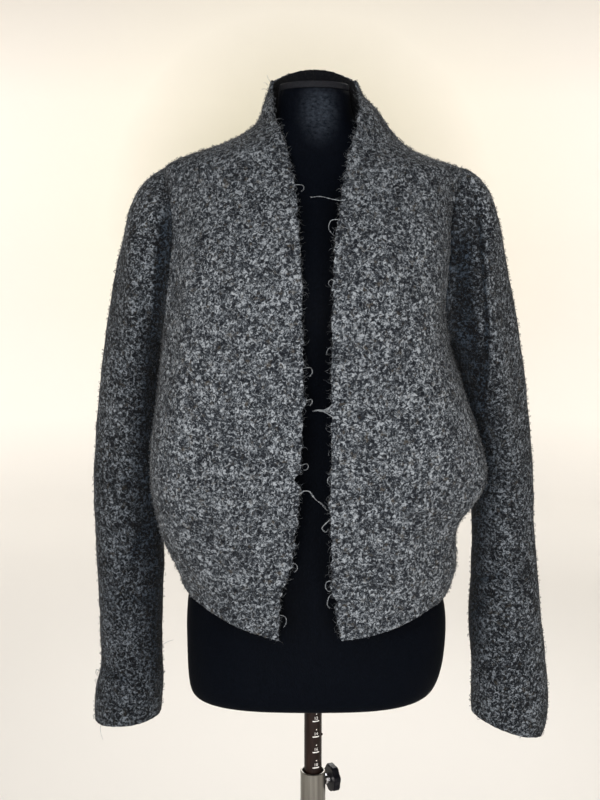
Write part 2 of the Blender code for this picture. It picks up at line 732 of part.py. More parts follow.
def form_point(turn, height, inset=0.0):
    """A point of the dress form, at a turn from its front towards the right."""
    side = RIGHT if turn <= math.pi else LEFT
    point = ring_point(FORM, side, min(turn, 2 * math.pi - turn), height)
    middle = Vector((0, (FORM[-1].back - FORM[-1].front) / 2, height))
    return point + (middle - point).normalized() * inset


def neck_cap_mesh(name):
    """The plain board that closes the neck."""
    shape = bmesh.new()
    bottom = FORM[-1].z + RUNNING_GAP
    top = bottom + NECK_CAP_THICK
    turns = [2 * math.pi * i / FORM_SIDES for i in range(FORM_SIDES)]
    levels = ((bottom, NECK_CAP_INSET), (top - 1, NECK_CAP_INSET), (top, NECK_CAP_INSET + 1))
    rings = []
    for height, inset in levels:
        ring = [form_point(t, FORM[-1].z, inset) for t in turns]
        rings.append([shape.verts.new(Vector((p.x, p.y, height)) * MM) for p in ring])
    for low, high in zip(rings, rings[1:]):
        for i in range(FORM_SIDES):
            j = (i + 1) % FORM_SIDES
            shape.faces.new((low[i], low[j], high[j], high[i]))
    shape.faces.new(rings[0][::-1])
    shape.faces.new(rings[-1])
    bmesh.ops.recalc_face_normals(shape, faces=shape.faces)
    made = bpy.data.meshes.new(name)
    shape.to_mesh(made)
    shape.free()
    return made


def lay_along_clamp(mesh):
    """Turns a solid made along Z so that Z runs out along the clamp's axis, at the knob's height."""
    way = Matrix.Rotation(KNOB_TURN, 4, "Z") @ Matrix.Rotation(math.pi / 2, 4, "Y")
    mesh.transform(Matrix.Translation((0, 0, KNOB_HEIGHT * MM)) @ way)
    return mesh


def drilled(made, cutter_mesh):
    """Cuts a hole in an object and applies the cut."""
    cutter = bpy.data.objects.new("cutter", cutter_mesh)
    bpy.context.collection.objects.link(cutter)
    cut = made.modifiers.new("hole", "BOOLEAN")
    cut.operation = "DIFFERENCE"
    cut.solver = "EXACT"
    cut.object = cutter
    graph = bpy.context.evaluated_depsgraph_get()
    whole = bpy.data.meshes.new_from_object(made.evaluated_get(graph))
    made.modifiers.clear()
    made.data = whole
    bpy.data.objects.remove(cutter)


def build_jacket():
    wool = material("wool_boucle", (0.05, 0.06, 0.08), 0.95)
    sleeve_wool = material("wool_boucle_sleeve", (0.04, 0.048, 0.065), 0.95)
    yarn = material("wool_yarn", (0.10, 0.12, 0.15), 0.95)
    for side, word in ((LEFT, "left"), (RIGHT, "right")):
        cloth, edge, inside = front_panel(side)
        finish(f"jacket_front_{word}", cloth.mesh(f"jacket_front_{word}"), wool)
        name = f"front_fringe_{word}"
        finish(name, fray(name, side, cloth, edge, inside), yarn)
        finish(f"sleeve_{word}", sleeve(side).mesh(f"sleeve_{word}"), sleeve_wool)
    finish("jacket_back", back_panel().mesh("jacket_back"), wool)


def build_form():
    jersey = material("black_jersey", (0.012, 0.012, 0.014), 0.85)
    board = material("neck_board", (0.09, 0.09, 0.095), 0.7)
    finish("dress_form", torso_mesh("dress_form"), jersey)
    finish("neck_cap", neck_cap_mesh("neck_cap"), board)


def build_stand():
    painted = material("base_paint", (0.02, 0.02, 0.022), 0.45)
    satin = material("satin_steel", (0.45, 0.45, 0.47), 0.35, 1.0)
    brown = material("brown_pole", (0.05, 0.022, 0.018), 0.4, 0.3)
    bright = material("bright_steel", (0.6, 0.6, 0.62), 0.2, 1.0)
    black = material("black_plastic", (0.015, 0.015, 0.016), 0.45)
    rim = BASE_RADIUS - BASE_EDGE
    seat = TUBE_RADIUS + RUNNING_GAP
    floor = BASE_THICK / 2
    base = turned(
        "stand_base",
        (
            (0, 0),
            (rim, 0),
            (BASE_RADIUS, BASE_EDGE),
            (BASE_RADIUS, BASE_THICK - BASE_EDGE),
            (rim, BASE_THICK),
            (HUB_RADIUS, BASE_THICK),
            (HUB_RADIUS, HUB_HEIGHT - BASE_EDGE),
            (HUB_RADIUS - BASE_EDGE, HUB_HEIGHT),
            (seat, HUB_HEIGHT),
            (seat, floor),
            (0, floor),
        ),
        sides=BASE_SIDES,
    )
    finish("stand_base", base, painted)
    bore = TUBE_BORE
    foot = floor + RUNNING_GAP
    tube = turned(
        "stand_tube",
        (
            (TUBE_RADIUS, foot),
            (TUBE_RADIUS, TUBE_TOP - 0.8),
            (TUBE_RADIUS - 0.8, TUBE_TOP),
            (bore, TUBE_TOP),
            (bore, foot),
        ),
    )
    tube = finish("stand_tube", tube, satin)
    hole = SCREW_RADIUS + RUNNING_GAP
    drill = turned("drill", ((0, POLE_RADIUS), (hole, POLE_RADIUS), (hole, KNOB_NEAR), (0, KNOB_NEAR)), 16)
    drilled(tube, lay_along_clamp(drill))
    pole = turned(
        "pole",
        (
            (0, POLE_BOTTOM),
            (POLE_RADIUS - 1, POLE_BOTTOM),
            (POLE_RADIUS, POLE_BOTTOM + 1),
            (POLE_RADIUS, FORM[0].z + SOCKET_DEPTH - RUNNING_GAP),
            (0, FORM[0].z + SOCKET_DEPTH - RUNNING_GAP),
        ),
    )
    finish("pole", pole, brown)
    nut_near = TUBE_RADIUS + RUNNING_GAP
    nut_far = KNOB_NEAR - RUNNING_GAP - 1
    nut = turned(
        "clamp_nut",
        ((NUT_RADIUS, nut_near), (NUT_RADIUS, nut_far), (hole, nut_far), (hole, nut_near)),
        sides=12,
    )
    finish("clamp_nut", lay_along_clamp(nut), bright)
    tip = POLE_RADIUS + RUNNING_GAP
    screw_end = KNOB_NEAR + KNOB_SOCKET
    screw = turned(
        "clamp_screw",
        ((0, tip), (SCREW_RADIUS, tip), (SCREW_RADIUS, screw_end), (0, screw_end)),
        sides=16,
    )
    finish("clamp_screw", lay_along_clamp(screw), bright)
    knob_far = KNOB_NEAR + KNOB_THICK
    socket_end = screw_end + RUNNING_GAP
    knob = turned(
        "clamp_knob",
        (
            (0, socket_end),
            (hole, socket_end),
            (hole, KNOB_NEAR),
            (KNOB_RADIUS - 1.5, KNOB_NEAR),
            (KNOB_RADIUS, KNOB_NEAR + 1.5),
            (KNOB_RADIUS, knob_far - 1.5),
            (KNOB_RADIUS - 1.5, knob_far),
            (0, knob_far),
        ),
        sides=KNOB_LOBES * 6,
        lobes=KNOB_LOBES,
        lobe_depth=KNOB_LOBE_DEPTH,
    )
    finish("clamp_knob", lay_along_clamp(knob), black)


clear_scene()
build_jacket()
build_form()
build_stand()
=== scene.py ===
"""The looks of a wool jacket worn by a limbless dress form on a pole stand. Blender 4.5, metres, +Z up.

The jacket faces -Y. Left and right are the viewer's, facing the jacket.
"""

import math
import random

import bmesh
import bpy
import numpy as np
from mathutils import Matrix, Vector, noise
from mathutils.bvhtree import BVHTree
from mathutils.kdtree import KDTree
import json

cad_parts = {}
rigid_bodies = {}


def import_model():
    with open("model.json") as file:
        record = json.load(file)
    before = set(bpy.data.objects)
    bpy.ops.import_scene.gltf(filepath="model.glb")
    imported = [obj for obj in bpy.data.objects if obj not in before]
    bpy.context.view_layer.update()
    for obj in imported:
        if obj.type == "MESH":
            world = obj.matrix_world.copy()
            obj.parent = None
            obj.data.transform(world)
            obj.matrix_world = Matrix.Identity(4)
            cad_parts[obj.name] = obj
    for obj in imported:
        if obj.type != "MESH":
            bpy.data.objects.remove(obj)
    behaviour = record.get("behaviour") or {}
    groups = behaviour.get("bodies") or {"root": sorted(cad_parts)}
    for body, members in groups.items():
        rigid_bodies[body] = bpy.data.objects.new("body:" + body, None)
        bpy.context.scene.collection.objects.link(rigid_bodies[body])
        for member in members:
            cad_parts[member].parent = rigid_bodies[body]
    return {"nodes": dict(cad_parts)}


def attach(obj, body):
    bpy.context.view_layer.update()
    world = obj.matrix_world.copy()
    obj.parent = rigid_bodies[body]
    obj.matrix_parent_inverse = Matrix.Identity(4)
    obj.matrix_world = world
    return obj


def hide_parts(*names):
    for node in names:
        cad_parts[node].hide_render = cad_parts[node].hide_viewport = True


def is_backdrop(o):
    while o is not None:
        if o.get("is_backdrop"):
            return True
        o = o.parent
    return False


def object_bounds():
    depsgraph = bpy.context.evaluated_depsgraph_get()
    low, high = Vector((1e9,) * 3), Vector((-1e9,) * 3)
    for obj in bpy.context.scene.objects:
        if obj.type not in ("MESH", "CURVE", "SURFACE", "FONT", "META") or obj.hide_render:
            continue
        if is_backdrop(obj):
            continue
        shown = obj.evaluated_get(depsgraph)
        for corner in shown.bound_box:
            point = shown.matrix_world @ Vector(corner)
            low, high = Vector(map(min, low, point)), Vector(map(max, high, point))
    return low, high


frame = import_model()
cad_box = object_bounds()

# The camera stands a little left of the pole at chest height and looks slightly down, as the photo's does.
CAMERA_PLACE = (-0.016, -1.353, 1.240)
CAMERA_DOWN = math.radians(8)
CAMERA_LENS = 52.0

camera_data = bpy.data.cameras.new("camera")
camera_data.lens = CAMERA_LENS
camera_data.sensor_width = 36
camera_data.clip_start = 0.05
camera_data.clip_end = 30
camera = bpy.data.objects.new("camera", camera_data)
camera.location = CAMERA_PLACE
camera.rotation_euler = (math.pi / 2 - CAMERA_DOWN, 0, 0)
bpy.context.collection.objects.link(camera)
bpy.context.scene.camera = camera

# The studio: a round pale plaster floor that sweeps up into a wall on all sides, with a painted shadow on
# the wall, darker behind the chest, and painted light and shade by height. One large soft light stands in
# front, a weaker one on the right, one behind and above, and three light the wall and floor.
WALL_RADIUS = 5.0
SWEEP_RADIUS = 0.9
SWEEP_STEPS = 12
WALL_TOP = 5.5
WALL_SIDES = 96
LIGHTS = (
    ("key_light", (-0.45, -2.9, 1.2), (0, 0, 1.05), 1.3, 68),
    ("fill_light", (1.4, -2.5, 0.9), (0, 0, 1.0), 1.3, 17),
    ("back_light", (0.3, 1.75, 2.0), (0, 0, 1.1), 1.2, 26),
    ("wall_light_left", (-2.4, 3.0, 1.8), (-0.4, 5.0, 1.0), 1.0, 19),
    ("wall_light_right", (2.4, 3.0, 1.8), (0.4, 5.0, 1.0), 1.0, 19),
    ("floor_light", (0, 3.0, 3.2), (0, 3.0, 0), 2.0, 35),
)
WORLD_STRENGTH = 0.34
# Tones of the painted shadow on the wall, from its darkest middle behind the chest outwards.
WALL_SHADOW_TONES = (
    (0.0, (0.60, 0.56, 0.45)),
    (0.25, (0.66, 0.62, 0.50)),
    (0.6, (0.89, 0.84, 0.74)),
    (1.0, (0.88, 0.83, 0.76)),
)
# Painted light and shade by height, up to WALL_TONED_UP_TO: darker on the floor, brightest where it sweeps
# up, darker towards the top.
WALL_PAINTED_LIGHT_BY_HEIGHT = (
    (0.0, (0.90, 0.92, 0.95)),
    (0.12, (1.06, 1.07, 1.08)),
    (0.45, (1, 1, 1)),
    (0.75, (1, 1, 1)),
    (1.0, (0.86, 0.86, 0.86)),
)
WALL_SHADE_MIDDLE = (0, WALL_RADIUS, 1.4)
WALL_SHADE_REACH = (0.25, 1.7)
WALL_TONED_UP_TO = 2.6
WALL_SHADOW_RAGGED = 0.16
FLOOR_RINGS = (0.5, 1.5, 3.0)
FLOOR_DROP = 0.0005


def new_material(name):
    """A material with nothing but its shader; gives the material, its nodes and its links."""
    made = bpy.data.materials.new(name)
    made.use_nodes = True
    return made, made.node_tree.nodes, made.node_tree.links


def object_noise(nodes, links, scale, detail=2.0, roughness=0.5, stretch=(1, 1, 1), distortion=0.0):
    """A noise pattern in metres on the piece's own place; gives its value."""
    place = nodes.new("ShaderNodeTexCoord")
    mapping = nodes.new("ShaderNodeMapping")
    mapping.inputs["Scale"].default_value = stretch
    pattern = nodes.new("ShaderNodeTexNoise")
    pattern.inputs["Scale"].default_value = scale
    pattern.inputs["Detail"].default_value = detail
    pattern.inputs["Roughness"].default_value = roughness
    pattern.inputs["Distortion"].default_value = distortion
    links.new(place.outputs["Object"], mapping.inputs["Vector"])
    links.new(mapping.outputs["Vector"], pattern.inputs["Vector"])
    return pattern.outputs["Fac"]


def colour_ramp(nodes, links, value, stops):
    """Colours a value; stops are (position, (red, green, blue))."""
    ramp = nodes.new("ShaderNodeValToRGB")
    while len(ramp.color_ramp.elements) < len(stops):
        ramp.color_ramp.elements.new(0.5)
    for element, (position, colour) in zip(ramp.color_ramp.elements, stops):
        element.position = position
        element.color = (*colour, 1)
    links.new(value, ramp.inputs["Fac"])
    return ramp.outputs["Color"]


def maths(nodes, links, operation, *values):
    """A Math node over sockets and plain numbers; gives its result."""
    made = nodes.new("ShaderNodeMath")
    made.operation = operation
    wire(links, made, values)
    return made.outputs["Value"]


def vector_maths(nodes, links, operation, *values):
    """A Vector Math node over sockets and plain vectors; gives its result."""
    made = nodes.new("ShaderNodeVectorMath")
    made.operation = operation
    wire(links, made, values)
    return made.outputs["Value" if operation in ("DISTANCE", "LENGTH") else "Vector"]


def wire(links, made, values):
    for socket, value in zip(made.inputs, values):
        if isinstance(value, bpy.types.NodeSocket):
            links.new(value, socket)
        else:
            socket.default_value = value


def mapped(nodes, links, value, low, high, to_low=0.0, to_high=1.0):
    """Maps a value from one range to another, held at its ends."""
    made = nodes.new("ShaderNodeMapRange")
    for socket, number in zip(("From Min", "From Max", "To Min", "To Max"), (low, high, to_low, to_high)):
        made.inputs[socket].default_value = number
    links.new(value, made.inputs["Value"])
    return made.outputs["Result"]


def blended(nodes, links, share, colour, other):
    """Goes from a colour to a plain other one by a share."""
    made = nodes.new("ShaderNodeMix")
    made.data_type = "RGBA"
    made.inputs["B"].default_value = (*other, 1)
    links.new(share, made.inputs["Factor"])
    links.new(colour, made.inputs["A"])
    return made.outputs["Result"]


def finish(nodes, links, colour, **values):
    """Gives a material's shader its colour and its other inputs, named with _ for a space."""
    shader = nodes["Principled BSDF"]
    links.new(colour, shader.inputs["Base Color"])
    for name, value in values.items():
        shader.inputs[name.replace("_", " ")].default_value = value


def add_bump(nodes, links, height, strength, distance):
    bump = nodes.new("ShaderNodeBump")
    bump.inputs["Strength"].default_value = strength
    bump.inputs["Distance"].default_value = distance
    links.new(height, bump.inputs["Height"])
    links.new(bump.outputs["Normal"], nodes["Principled BSDF"].inputs["Normal"])


def link_piece(name, mesh, look=None):
    piece = bpy.data.objects.new(name, mesh)
    bpy.context.collection.objects.link(piece)
    if look:
        mesh.materials.clear()
        mesh.materials.append(look)
    return piece


plaster, nodes, links = new_material("pale_plaster")
place = nodes.new("ShaderNodeTexCoord").outputs["Object"]
axes = nodes.new("ShaderNodeSeparateXYZ")
links.new(place, axes.inputs["Vector"])
# Painted shadow: the wall is painted darker the nearer it lies to a point behind the chest, with a ragged
# edge.
aside = vector_maths(nodes, links, "DISTANCE", place, WALL_SHADE_MIDDLE)
uneven = maths(nodes, links, "MULTIPLY_ADD", object_noise(nodes, links, 1.7, 3), WALL_SHADOW_RAGGED, aside)
share = mapped(nodes, links, uneven, *WALL_SHADE_REACH)
# Painted light and shade by height on the floor and wall.
height = mapped(nodes, links, axes.outputs["Z"], 0.0, WALL_TONED_UP_TO)
toned = vector_maths(
    nodes,
    links,
    "MULTIPLY",
    colour_ramp(nodes, links, share, WALL_SHADOW_TONES),
    colour_ramp(nodes, links, height, WALL_PAINTED_LIGHT_BY_HEIGHT),
)
finish(nodes, links, toned, Roughness=0.9)
add_bump(nodes, links, object_noise(nodes, links, 60, 4), 0.1, 0.002)

sweep = [(out, 0.0) for out in FLOOR_RINGS]
for step in range(SWEEP_STEPS + 1):
    turn = math.pi / 2 * step / SWEEP_STEPS
    out = WALL_RADIUS - SWEEP_RADIUS + SWEEP_RADIUS * math.sin(turn)
    sweep.append((out, SWEEP_RADIUS - SWEEP_RADIUS * math.cos(turn)))
sweep.append((WALL_RADIUS, WALL_TOP))
points = []
for out, z in sweep:
    for side in range(WALL_SIDES):
        turn = 2 * math.pi * side / WALL_SIDES
        points.append((out * math.cos(turn), out * math.sin(turn), z - FLOOR_DROP))
faces = [tuple(range(WALL_SIDES))]
for ring in range(len(sweep) - 1):
    for side in range(WALL_SIDES):
        low = ring * WALL_SIDES
        onward = (side + 1) % WALL_SIDES
        faces.append((low + side, low + WALL_SIDES + side, low + WALL_SIDES + onward, low + onward))
ground = bpy.data.meshes.new("floor_and_wall")
ground.from_pydata(points, [], faces)
ground.shade_smooth()
link_piece("floor_and_wall", ground, plaster)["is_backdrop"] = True

for name, place, target, size, power in LIGHTS:
    data = bpy.data.lights.new(name, "AREA")
    data.shape = "DISK"
    data.size = size
    data.energy = power
    light = bpy.data.objects.new(name, data)
    light.location = place
    light.rotation_euler = (Vector(target) - Vector(place)).to_track_quat("-Z", "Y").to_euler()
    bpy.context.collection.objects.link(light)

world = bpy.data.worlds.new("studio_air")
world.use_nodes = True
world.node_tree.nodes["Background"].inputs["Color"].default_value = (1.0, 0.99, 0.97, 1)
world.node_tree.nodes["Background"].inputs["Strength"].default_value = WORLD_STRENGTH
bpy.context.scene.world = world
bpy.context.scene.view_settings.view_transform = "Standard"

# The wool: a thick loosely woven boucle, looped light-grey yarn on a dark navy-grey ground with a few brown
# and olive flecks. The fronts, back and sleeves are all cut from it, 3 mm thick and unlined.
LOOP_SIZE = 0.0028
GROUND_COLOUR = (0.006, 0.0075, 0.011)
SHADE_COLOUR = (0.022, 0.026, 0.033)
YARN_COLOUR = (0.085, 0.096, 0.110)
LIGHT_COLOUR = (0.31, 0.335, 0.365)
# The inside faces, near black: the wool's darker ground on its wrong side and painted shade inside the
# jacket.
REVERSE_AND_SHADE_COLOUR = (0.003, 0.0035, 0.0055)
# Painted shade, from rays cast into the cloth and form around each point: how far the rays reach, how many,
# how far off the cloth they start, how strongly what they meet darkens it, how much less over the shoulders,
# and how much red, green and blue are darkened.
SHADE_RAY_REACH = 0.09
SHADE_RAYS = 40
SHADE_RAY_LIFT = 0.0015
PAINTED_SHADE_GAIN = 1.6
PAINTED_SHADE_LESS_OVER_SHOULDER = 0.85
PAINTED_SHADE_DARKENS = (0.93, 0.91, 0.885)
PATCH_SHARE = 0.22
FLECK_COLOUR = (0.075, 0.062, 0.045)
EDGE_TURN = math.radians(55)
EDGE_CREASE = 0.9
SHOULDER_FROM = 1.265
SHOULDER_BLEND = 0.045
SEAM_CLOSE = 0.0004
SURFACE_LUMPS = 0.0007
SURROUNDING_NODES = (
    "dress_form",
    "jacket_front_left",
    "jacket_front_right",
    "jacket_back",
    "sleeve_left",
    "sleeve_right",
)


def darkened_in_hollows(nodes, links, colour):
    """Darkens a colour by the piece's painted shade attribute, painted where it lies in a fold or under its
    neighbour.
    """
    painted_shade = nodes.new("ShaderNodeAttribute")
    painted_shade.attribute_name = "painted_shade"
    taken = vector_maths(nodes, links, "MULTIPLY", PAINTED_SHADE_DARKENS, painted_shade.outputs["Fac"])
    left = vector_maths(nodes, links, "SUBTRACT", (1, 1, 1), taken)
    return vector_maths(nodes, links, "MULTIPLY", colour, left)


def wool_material(name, contrast):
    """Looped wool, its loops picked out from the ground by colour and by relief, more or less strongly."""
    made, nodes, links = new_material(name)
    loops = object_noise(nodes, links, 0.85 / LOOP_SIZE, 3.5, 0.62, distortion=0.9)
    patches = object_noise(nodes, links, 62, 2.5, 0.6)
    mixed = maths(nodes, links, "MULTIPLY_ADD", patches, PATCH_SHARE, loops)
    stops = (
        (0.48, GROUND_COLOUR),
        (0.575, tuple(c / contrast for c in SHADE_COLOUR)),
        (0.635, YARN_COLOUR),
        (0.75, tuple(c * contrast for c in LIGHT_COLOUR)),
    )
    spot = mapped(nodes, links, object_noise(nodes, links, 150, 2, 0.6), 0.60, 0.72, to_high=0.55)
    flecked = blended(nodes, links, spot, colour_ramp(nodes, links, mixed, stops), FLECK_COLOUR)
    reverse = nodes.new("ShaderNodeAttribute")
    reverse.attribute_name = "reverse"
    # Painted shade darkens the wool in folds and under neighbouring cloth.
    shaded = darkened_in_hollows(nodes, links, flecked)
    colour = blended(nodes, links, reverse.outputs["Fac"], shaded, REVERSE_AND_SHADE_COLOUR)
    finish(
        nodes,
        links,
        colour,
        Roughness=0.95,
        Specular_IOR_Level=0.15,
        Sheen_Weight=0.025,
        Sheen_Roughness=0.6,
    )
    add_bump(nodes, links, loops, 0.9, 0.0022)
    return made


def merged_copy(node):
    """A CAD node's shape with its corners joined and its triangles paired into quads."""
    shape = bmesh.new()
    shape.from_mesh(frame["nodes"][node].data)
    bmesh.ops.remove_doubles(shape, verts=shape.verts, dist=0.00001)
    limits = {"angle_face_threshold": math.radians(50), "angle_shape_threshold": math.radians(80)}
    bmesh.ops.join_triangles(shape, faces=shape.faces, **limits)
    return shape


def wall_sides(shape):
    """Marks a cloth wall's edges as creases; gives the faces of its outer side and of its inner one."""
    crease = shape.edges.layers.float["crease_edge"]
    rims = set()
    for edge in shape.edges:
        if len(edge.link_faces) == 2 and edge.calc_face_angle(0) > EDGE_TURN:
            edge[crease] = EDGE_CREASE
            rims.add(edge)
    sides = []
    seen = set()
    for start in shape.faces:
        if start in seen:
            continue
        side = {start}
        queue = [start]
        while queue:
            for edge in queue.pop().edges:
                if edge in rims:
                    continue
                for face in edge.link_faces:
                    if face not in side:
                        side.add(face)
                        queue.append(face)
        seen |= side
        sides.append(side)
    sides.sort(key=lambda side: -sum(face.calc_area() for face in side))
    return sides[:2]


def all_solids():
    """Every cloth and form solid in one tree, to tell how deep a point lies among them for its painted shade.
    """
    whole = bmesh.new()
    for node in SURROUNDING_NODES:
        whole.from_mesh(frame["nodes"][node].data)
    tree = BVHTree.FromBMesh(whole)
    whole.free()
    return tree


def shoulder_top(place):
    """0 below the armholes to 1 over the shoulders, where sleeve and body run smoothly into each other."""
    return min(1.0, max(0.0, (place.z - SHOULDER_FROM) / SHOULDER_BLEND))


def hollow_at(place, normal, extra_shade=0.0):
    """The painted shade at a point: 0 where the cloth lies open to the room, towards 1 where folds and
    neighbours crowd it.
    """
    across = normal.orthogonal().normalized()
    other = normal.cross(across)
    met = 0.0
    for i in range(SHADE_RAYS):
        lean = math.sqrt((i + 0.5) / SHADE_RAYS)
        turn = i * 2.39996
        way = normal * math.sqrt(1 - lean * lean) + (across * math.cos(turn) + other * math.sin(turn)) * lean
        distance = surroundings.ray_cast(place + normal * SHADE_RAY_LIFT, way, SHADE_RAY_REACH)[3]
        if distance is not None:
            met += 1 - distance / SHADE_RAY_REACH
    open_share = 1 - PAINTED_SHADE_LESS_OVER_SHOULDER * shoulder_top(place)
    return min(1.0, PAINTED_SHADE_GAIN * met / SHADE_RAYS * open_share + extra_shade)


surroundings = all_solids()


def fine_cloth(name, node, look, levels=2, extra_shade=lambda place: 0.0):
    """A cloth wall in fine, smoothly rounded quads. Its outer faces are marked."""
    shape = merged_copy(node)
    mark = shape.faces.layers.int.new("outer")
    shape.edges.layers.float.new("crease_edge")
    outside, inside = wall_sides(shape)
    for face in outside:
        face[mark] = 1
    for face in inside:
        face[mark] = 2
    # Each point's painted shade, from the cloth and form around it and any extra shade given.
    painted_shade = shape.verts.layers.float.new("painted_shade")
    for vert in shape.verts:
        outer_normals = [face.normal for face in vert.link_faces if face[mark] == 1]
        facing = sum(outer_normals, Vector()).normalized() if outer_normals else vert.normal
        vert[painted_shade] = hollow_at(vert.co, facing, extra_shade(vert.co))
        rims = [face.normal for face in vert.link_faces if face[mark] == 0]
        if rims:
            vert.co += sum(rims, Vector()).normalized() * SEAM_CLOSE
    mesh = bpy.data.meshes.new(name)
    shape.to_mesh(mesh)
    shape.free()
    mesh.materials.clear()
    mesh.materials.append(look)
    piece = link_piece(name, mesh)
    fine = piece.modifiers.new("fine", "SUBSURF")
    fine.levels = levels
    fine.render_levels = levels
    whole = bpy.data.meshes.new_from_object(piece.evaluated_get(bpy.context.evaluated_depsgraph_get()))
    piece.modifiers.clear()
    piece.data = whole
    whole.name = name
    whole.shade_smooth()
    reverse = np.zeros(len(whole.vertices))
    marks = whole.attributes["outer"].data
    for face in whole.polygons:
        if marks[face.index].value == 2:
            reverse[list(face.vertices)] = 1
    whole.attributes.new("reverse", "FLOAT", "POINT").data.foreach_set("value", reverse)
    flags = [int(mark.value == 1) for mark in marks]
    marks.foreach_set("value", flags)
    return piece


def point_values(mesh, name):
    found = np.empty(len(mesh.vertices))
    mesh.attributes[name].data.foreach_get("value", found)
    return found


def positions(mesh, of="co"):
    """The points of a mesh, or their normals."""
    found = np.empty(len(mesh.vertices) * 3)
    mesh.vertices.foreach_get(of, found)
    return found.reshape(-1, 3)


def set_positions(mesh, places):
    mesh.vertices.foreach_set("co", places.ravel())
    mesh.update()


def roughen(piece, depth=SURFACE_LUMPS):
    """Raises and lowers the surface a little, in lumps the size of the loops and in broader swells."""
    mesh = piece.data
    places = positions(mesh)
    normals = positions(mesh, "normal")
    lumps = np.array([noise.noise(Vector(p) * 260) for p in places])
    swells = np.array([noise.noise(Vector(p) * 34) for p in places])
    lift = lumps * depth + swells * depth * 1.6
    set_positions(mesh, places + normals * lift[:, None])


def press_creases(piece, creases):
    """Presses soft troughs into the wall, both sides alike, and darkens them with the painted shade of a
    fold.

    Sizes are in millimetres. Each line runs through (x, z), on the front for -1 and on the back for 1.
    """
    mesh = piece.data
    places = positions(mesh)
    outward = positions(mesh, "normal") * (1 - 2 * point_values(mesh, "reverse"))[:, None]
    painted_shade = point_values(mesh, "painted_shade")
    pressed = np.zeros(len(places))
    for facing, half_width, depth, painted_darkening, line in creases:
        corners = np.array(line) / 1000
        lengths = np.linalg.norm(np.diff(corners, axis=0), axis=1)
        starts = np.concatenate(([0], np.cumsum(lengths)[:-1]))
        nearest = np.full(len(places), 10.0)
        along = np.zeros(len(places))
        for a, b, length, start in zip(corners[:-1], corners[1:], lengths, starts):
            way = (b - a) / length
            share = np.clip((places[:, (0, 2)] - a) @ way, 0, length)
            distance = np.linalg.norm(places[:, (0, 2)] - a - share[:, None] * way, axis=1)
            closer = distance < nearest
            nearest[closer] = distance[closer]
            along[closer] = (start + share[closer]) / lengths.sum()
        trough = np.clip(1 - (nearest / half_width * 1000) ** 2, 0, 1) ** 1.5
        trough *= np.clip(np.minimum(along, 1 - along) / 0.18 + 0.12, 0, 1)
        trough *= np.clip(outward[:, 1] * facing * 2.5, 0, 1)
        pressed += trough * depth / 1000
        painted_shade += trough * painted_darkening
    set_positions(mesh, places - outward * pressed[:, None])
    mesh.attributes["painted_shade"].data.foreach_set("value", np.clip(painted_shade, 0, 1))


def outer_rim(piece):
    """Numbers the points where a wall's outer face meets its edge."""
    mesh = piece.data
    marks = mesh.attributes["outer"].data
    on_outer = np.zeros(len(mesh.vertices), bool)
    on_other = np.zeros(len(mesh.vertices), bool)
    for face in mesh.polygons:
        (on_outer if marks[face.index].value else on_other)[list(face.vertices)] = True
    return np.nonzero(on_outer & on_other & (point_values(mesh, "reverse") < 0.5))[0]


def lookup(points):
    tree = KDTree(len(points))
    for i, place in enumerate(points):
        tree.insert(place, i)
    tree.balance()
    return tree


def meet_flush(piece, bodies, reach, lowest):
    """Raises a sleeve's head so that over the shoulder it runs on from the body without a step."""
    places = positions(piece.data)
    own = places[(point_values(piece.data, "reverse") < 0.5) & (places[:, 2] > lowest - 0.03)]
    own_points = lookup(own)
    targets = []
    for body in bodies:
        there = positions(body.data)
        rim = there[outer_rim(body)]
        targets += list(rim[(rim[:, 2] > lowest - 0.05) & (np.abs(rim[:, 0]) > 0.13)])
    starts, lifts = [], []
    for target in targets:
        start, _, distance = own_points.find(target)
        if distance < 0.012:
            starts.append(start)
            lifts.append(target - np.array(start))
    rim_points = lookup(starts)
    for i, place in enumerate(places):
        if place[2] < lowest:
            continue
        near = rim_points.find_n(place, 6)
        distance = near[0][2]
        if distance > reach:
            continue
        lift = np.mean([lifts[number] for _, number, _ in near], axis=0)
        up = min(1.0, (place[2] - lowest) / 0.05)
        places[i] += lift * (1 - (distance / reach) ** 2) ** 2 * up
    set_positions(piece.data, places)


def nudge(piece, moves):
    """Moves the cloth softly; in millimetres, for each move: (x, y, z), reach and move."""
    places = positions(piece.data)
    for middle, reach, move in moves:
        distance = np.linalg.norm(places - np.array(middle) / 1000, axis=1) * 1000 / reach
        places += (np.clip(1 - distance**2, 0, 1) ** 2)[:, None] * np.array(move) / 1000
    set_positions(piece.data, places)


wool = wool_material("wool_boucle", 1.08)
sleeve_wool = wool_material("wool_boucle_sleeve", 1.4)

# The yarn on the surface: curled loops of the boucle all over the outside, along the raw front and collar
# edges the cut ends of the cloth teased out by wear into wisps, and a few long stray yarns. All of it is
# the cloth's own yarn.
YARN_RADIUS = 0.00030
YARN_SIDES = 3
LOOP_SAMPLES = 6
LOOP_RADIUS = (0.0009, 0.0017)
WISP_SAMPLES = 9
WISP_LENGTH = (0.004, 0.011)
STRAY_STRANDS = 3
STRAY_STEP = 0.0012
YARN_SEED = 5

yarn_material, nodes, links = new_material("loose_yarn")
yarn_tones = colour_ramp(
    nodes,
    links,
    object_noise(nodes, links, 300, 2),
    ((0.36, (0.010, 0.012, 0.017)), (0.5, (0.050, 0.057, 0.068)), (0.66, (0.23, 0.25, 0.275))),
)
# The planted yarn takes the painted shade of the cloth it grows from.
finish(nodes, links, darkened_in_hollows(nodes, links, yarn_tones), Roughness=0.9, Sheen_Weight=0.1)


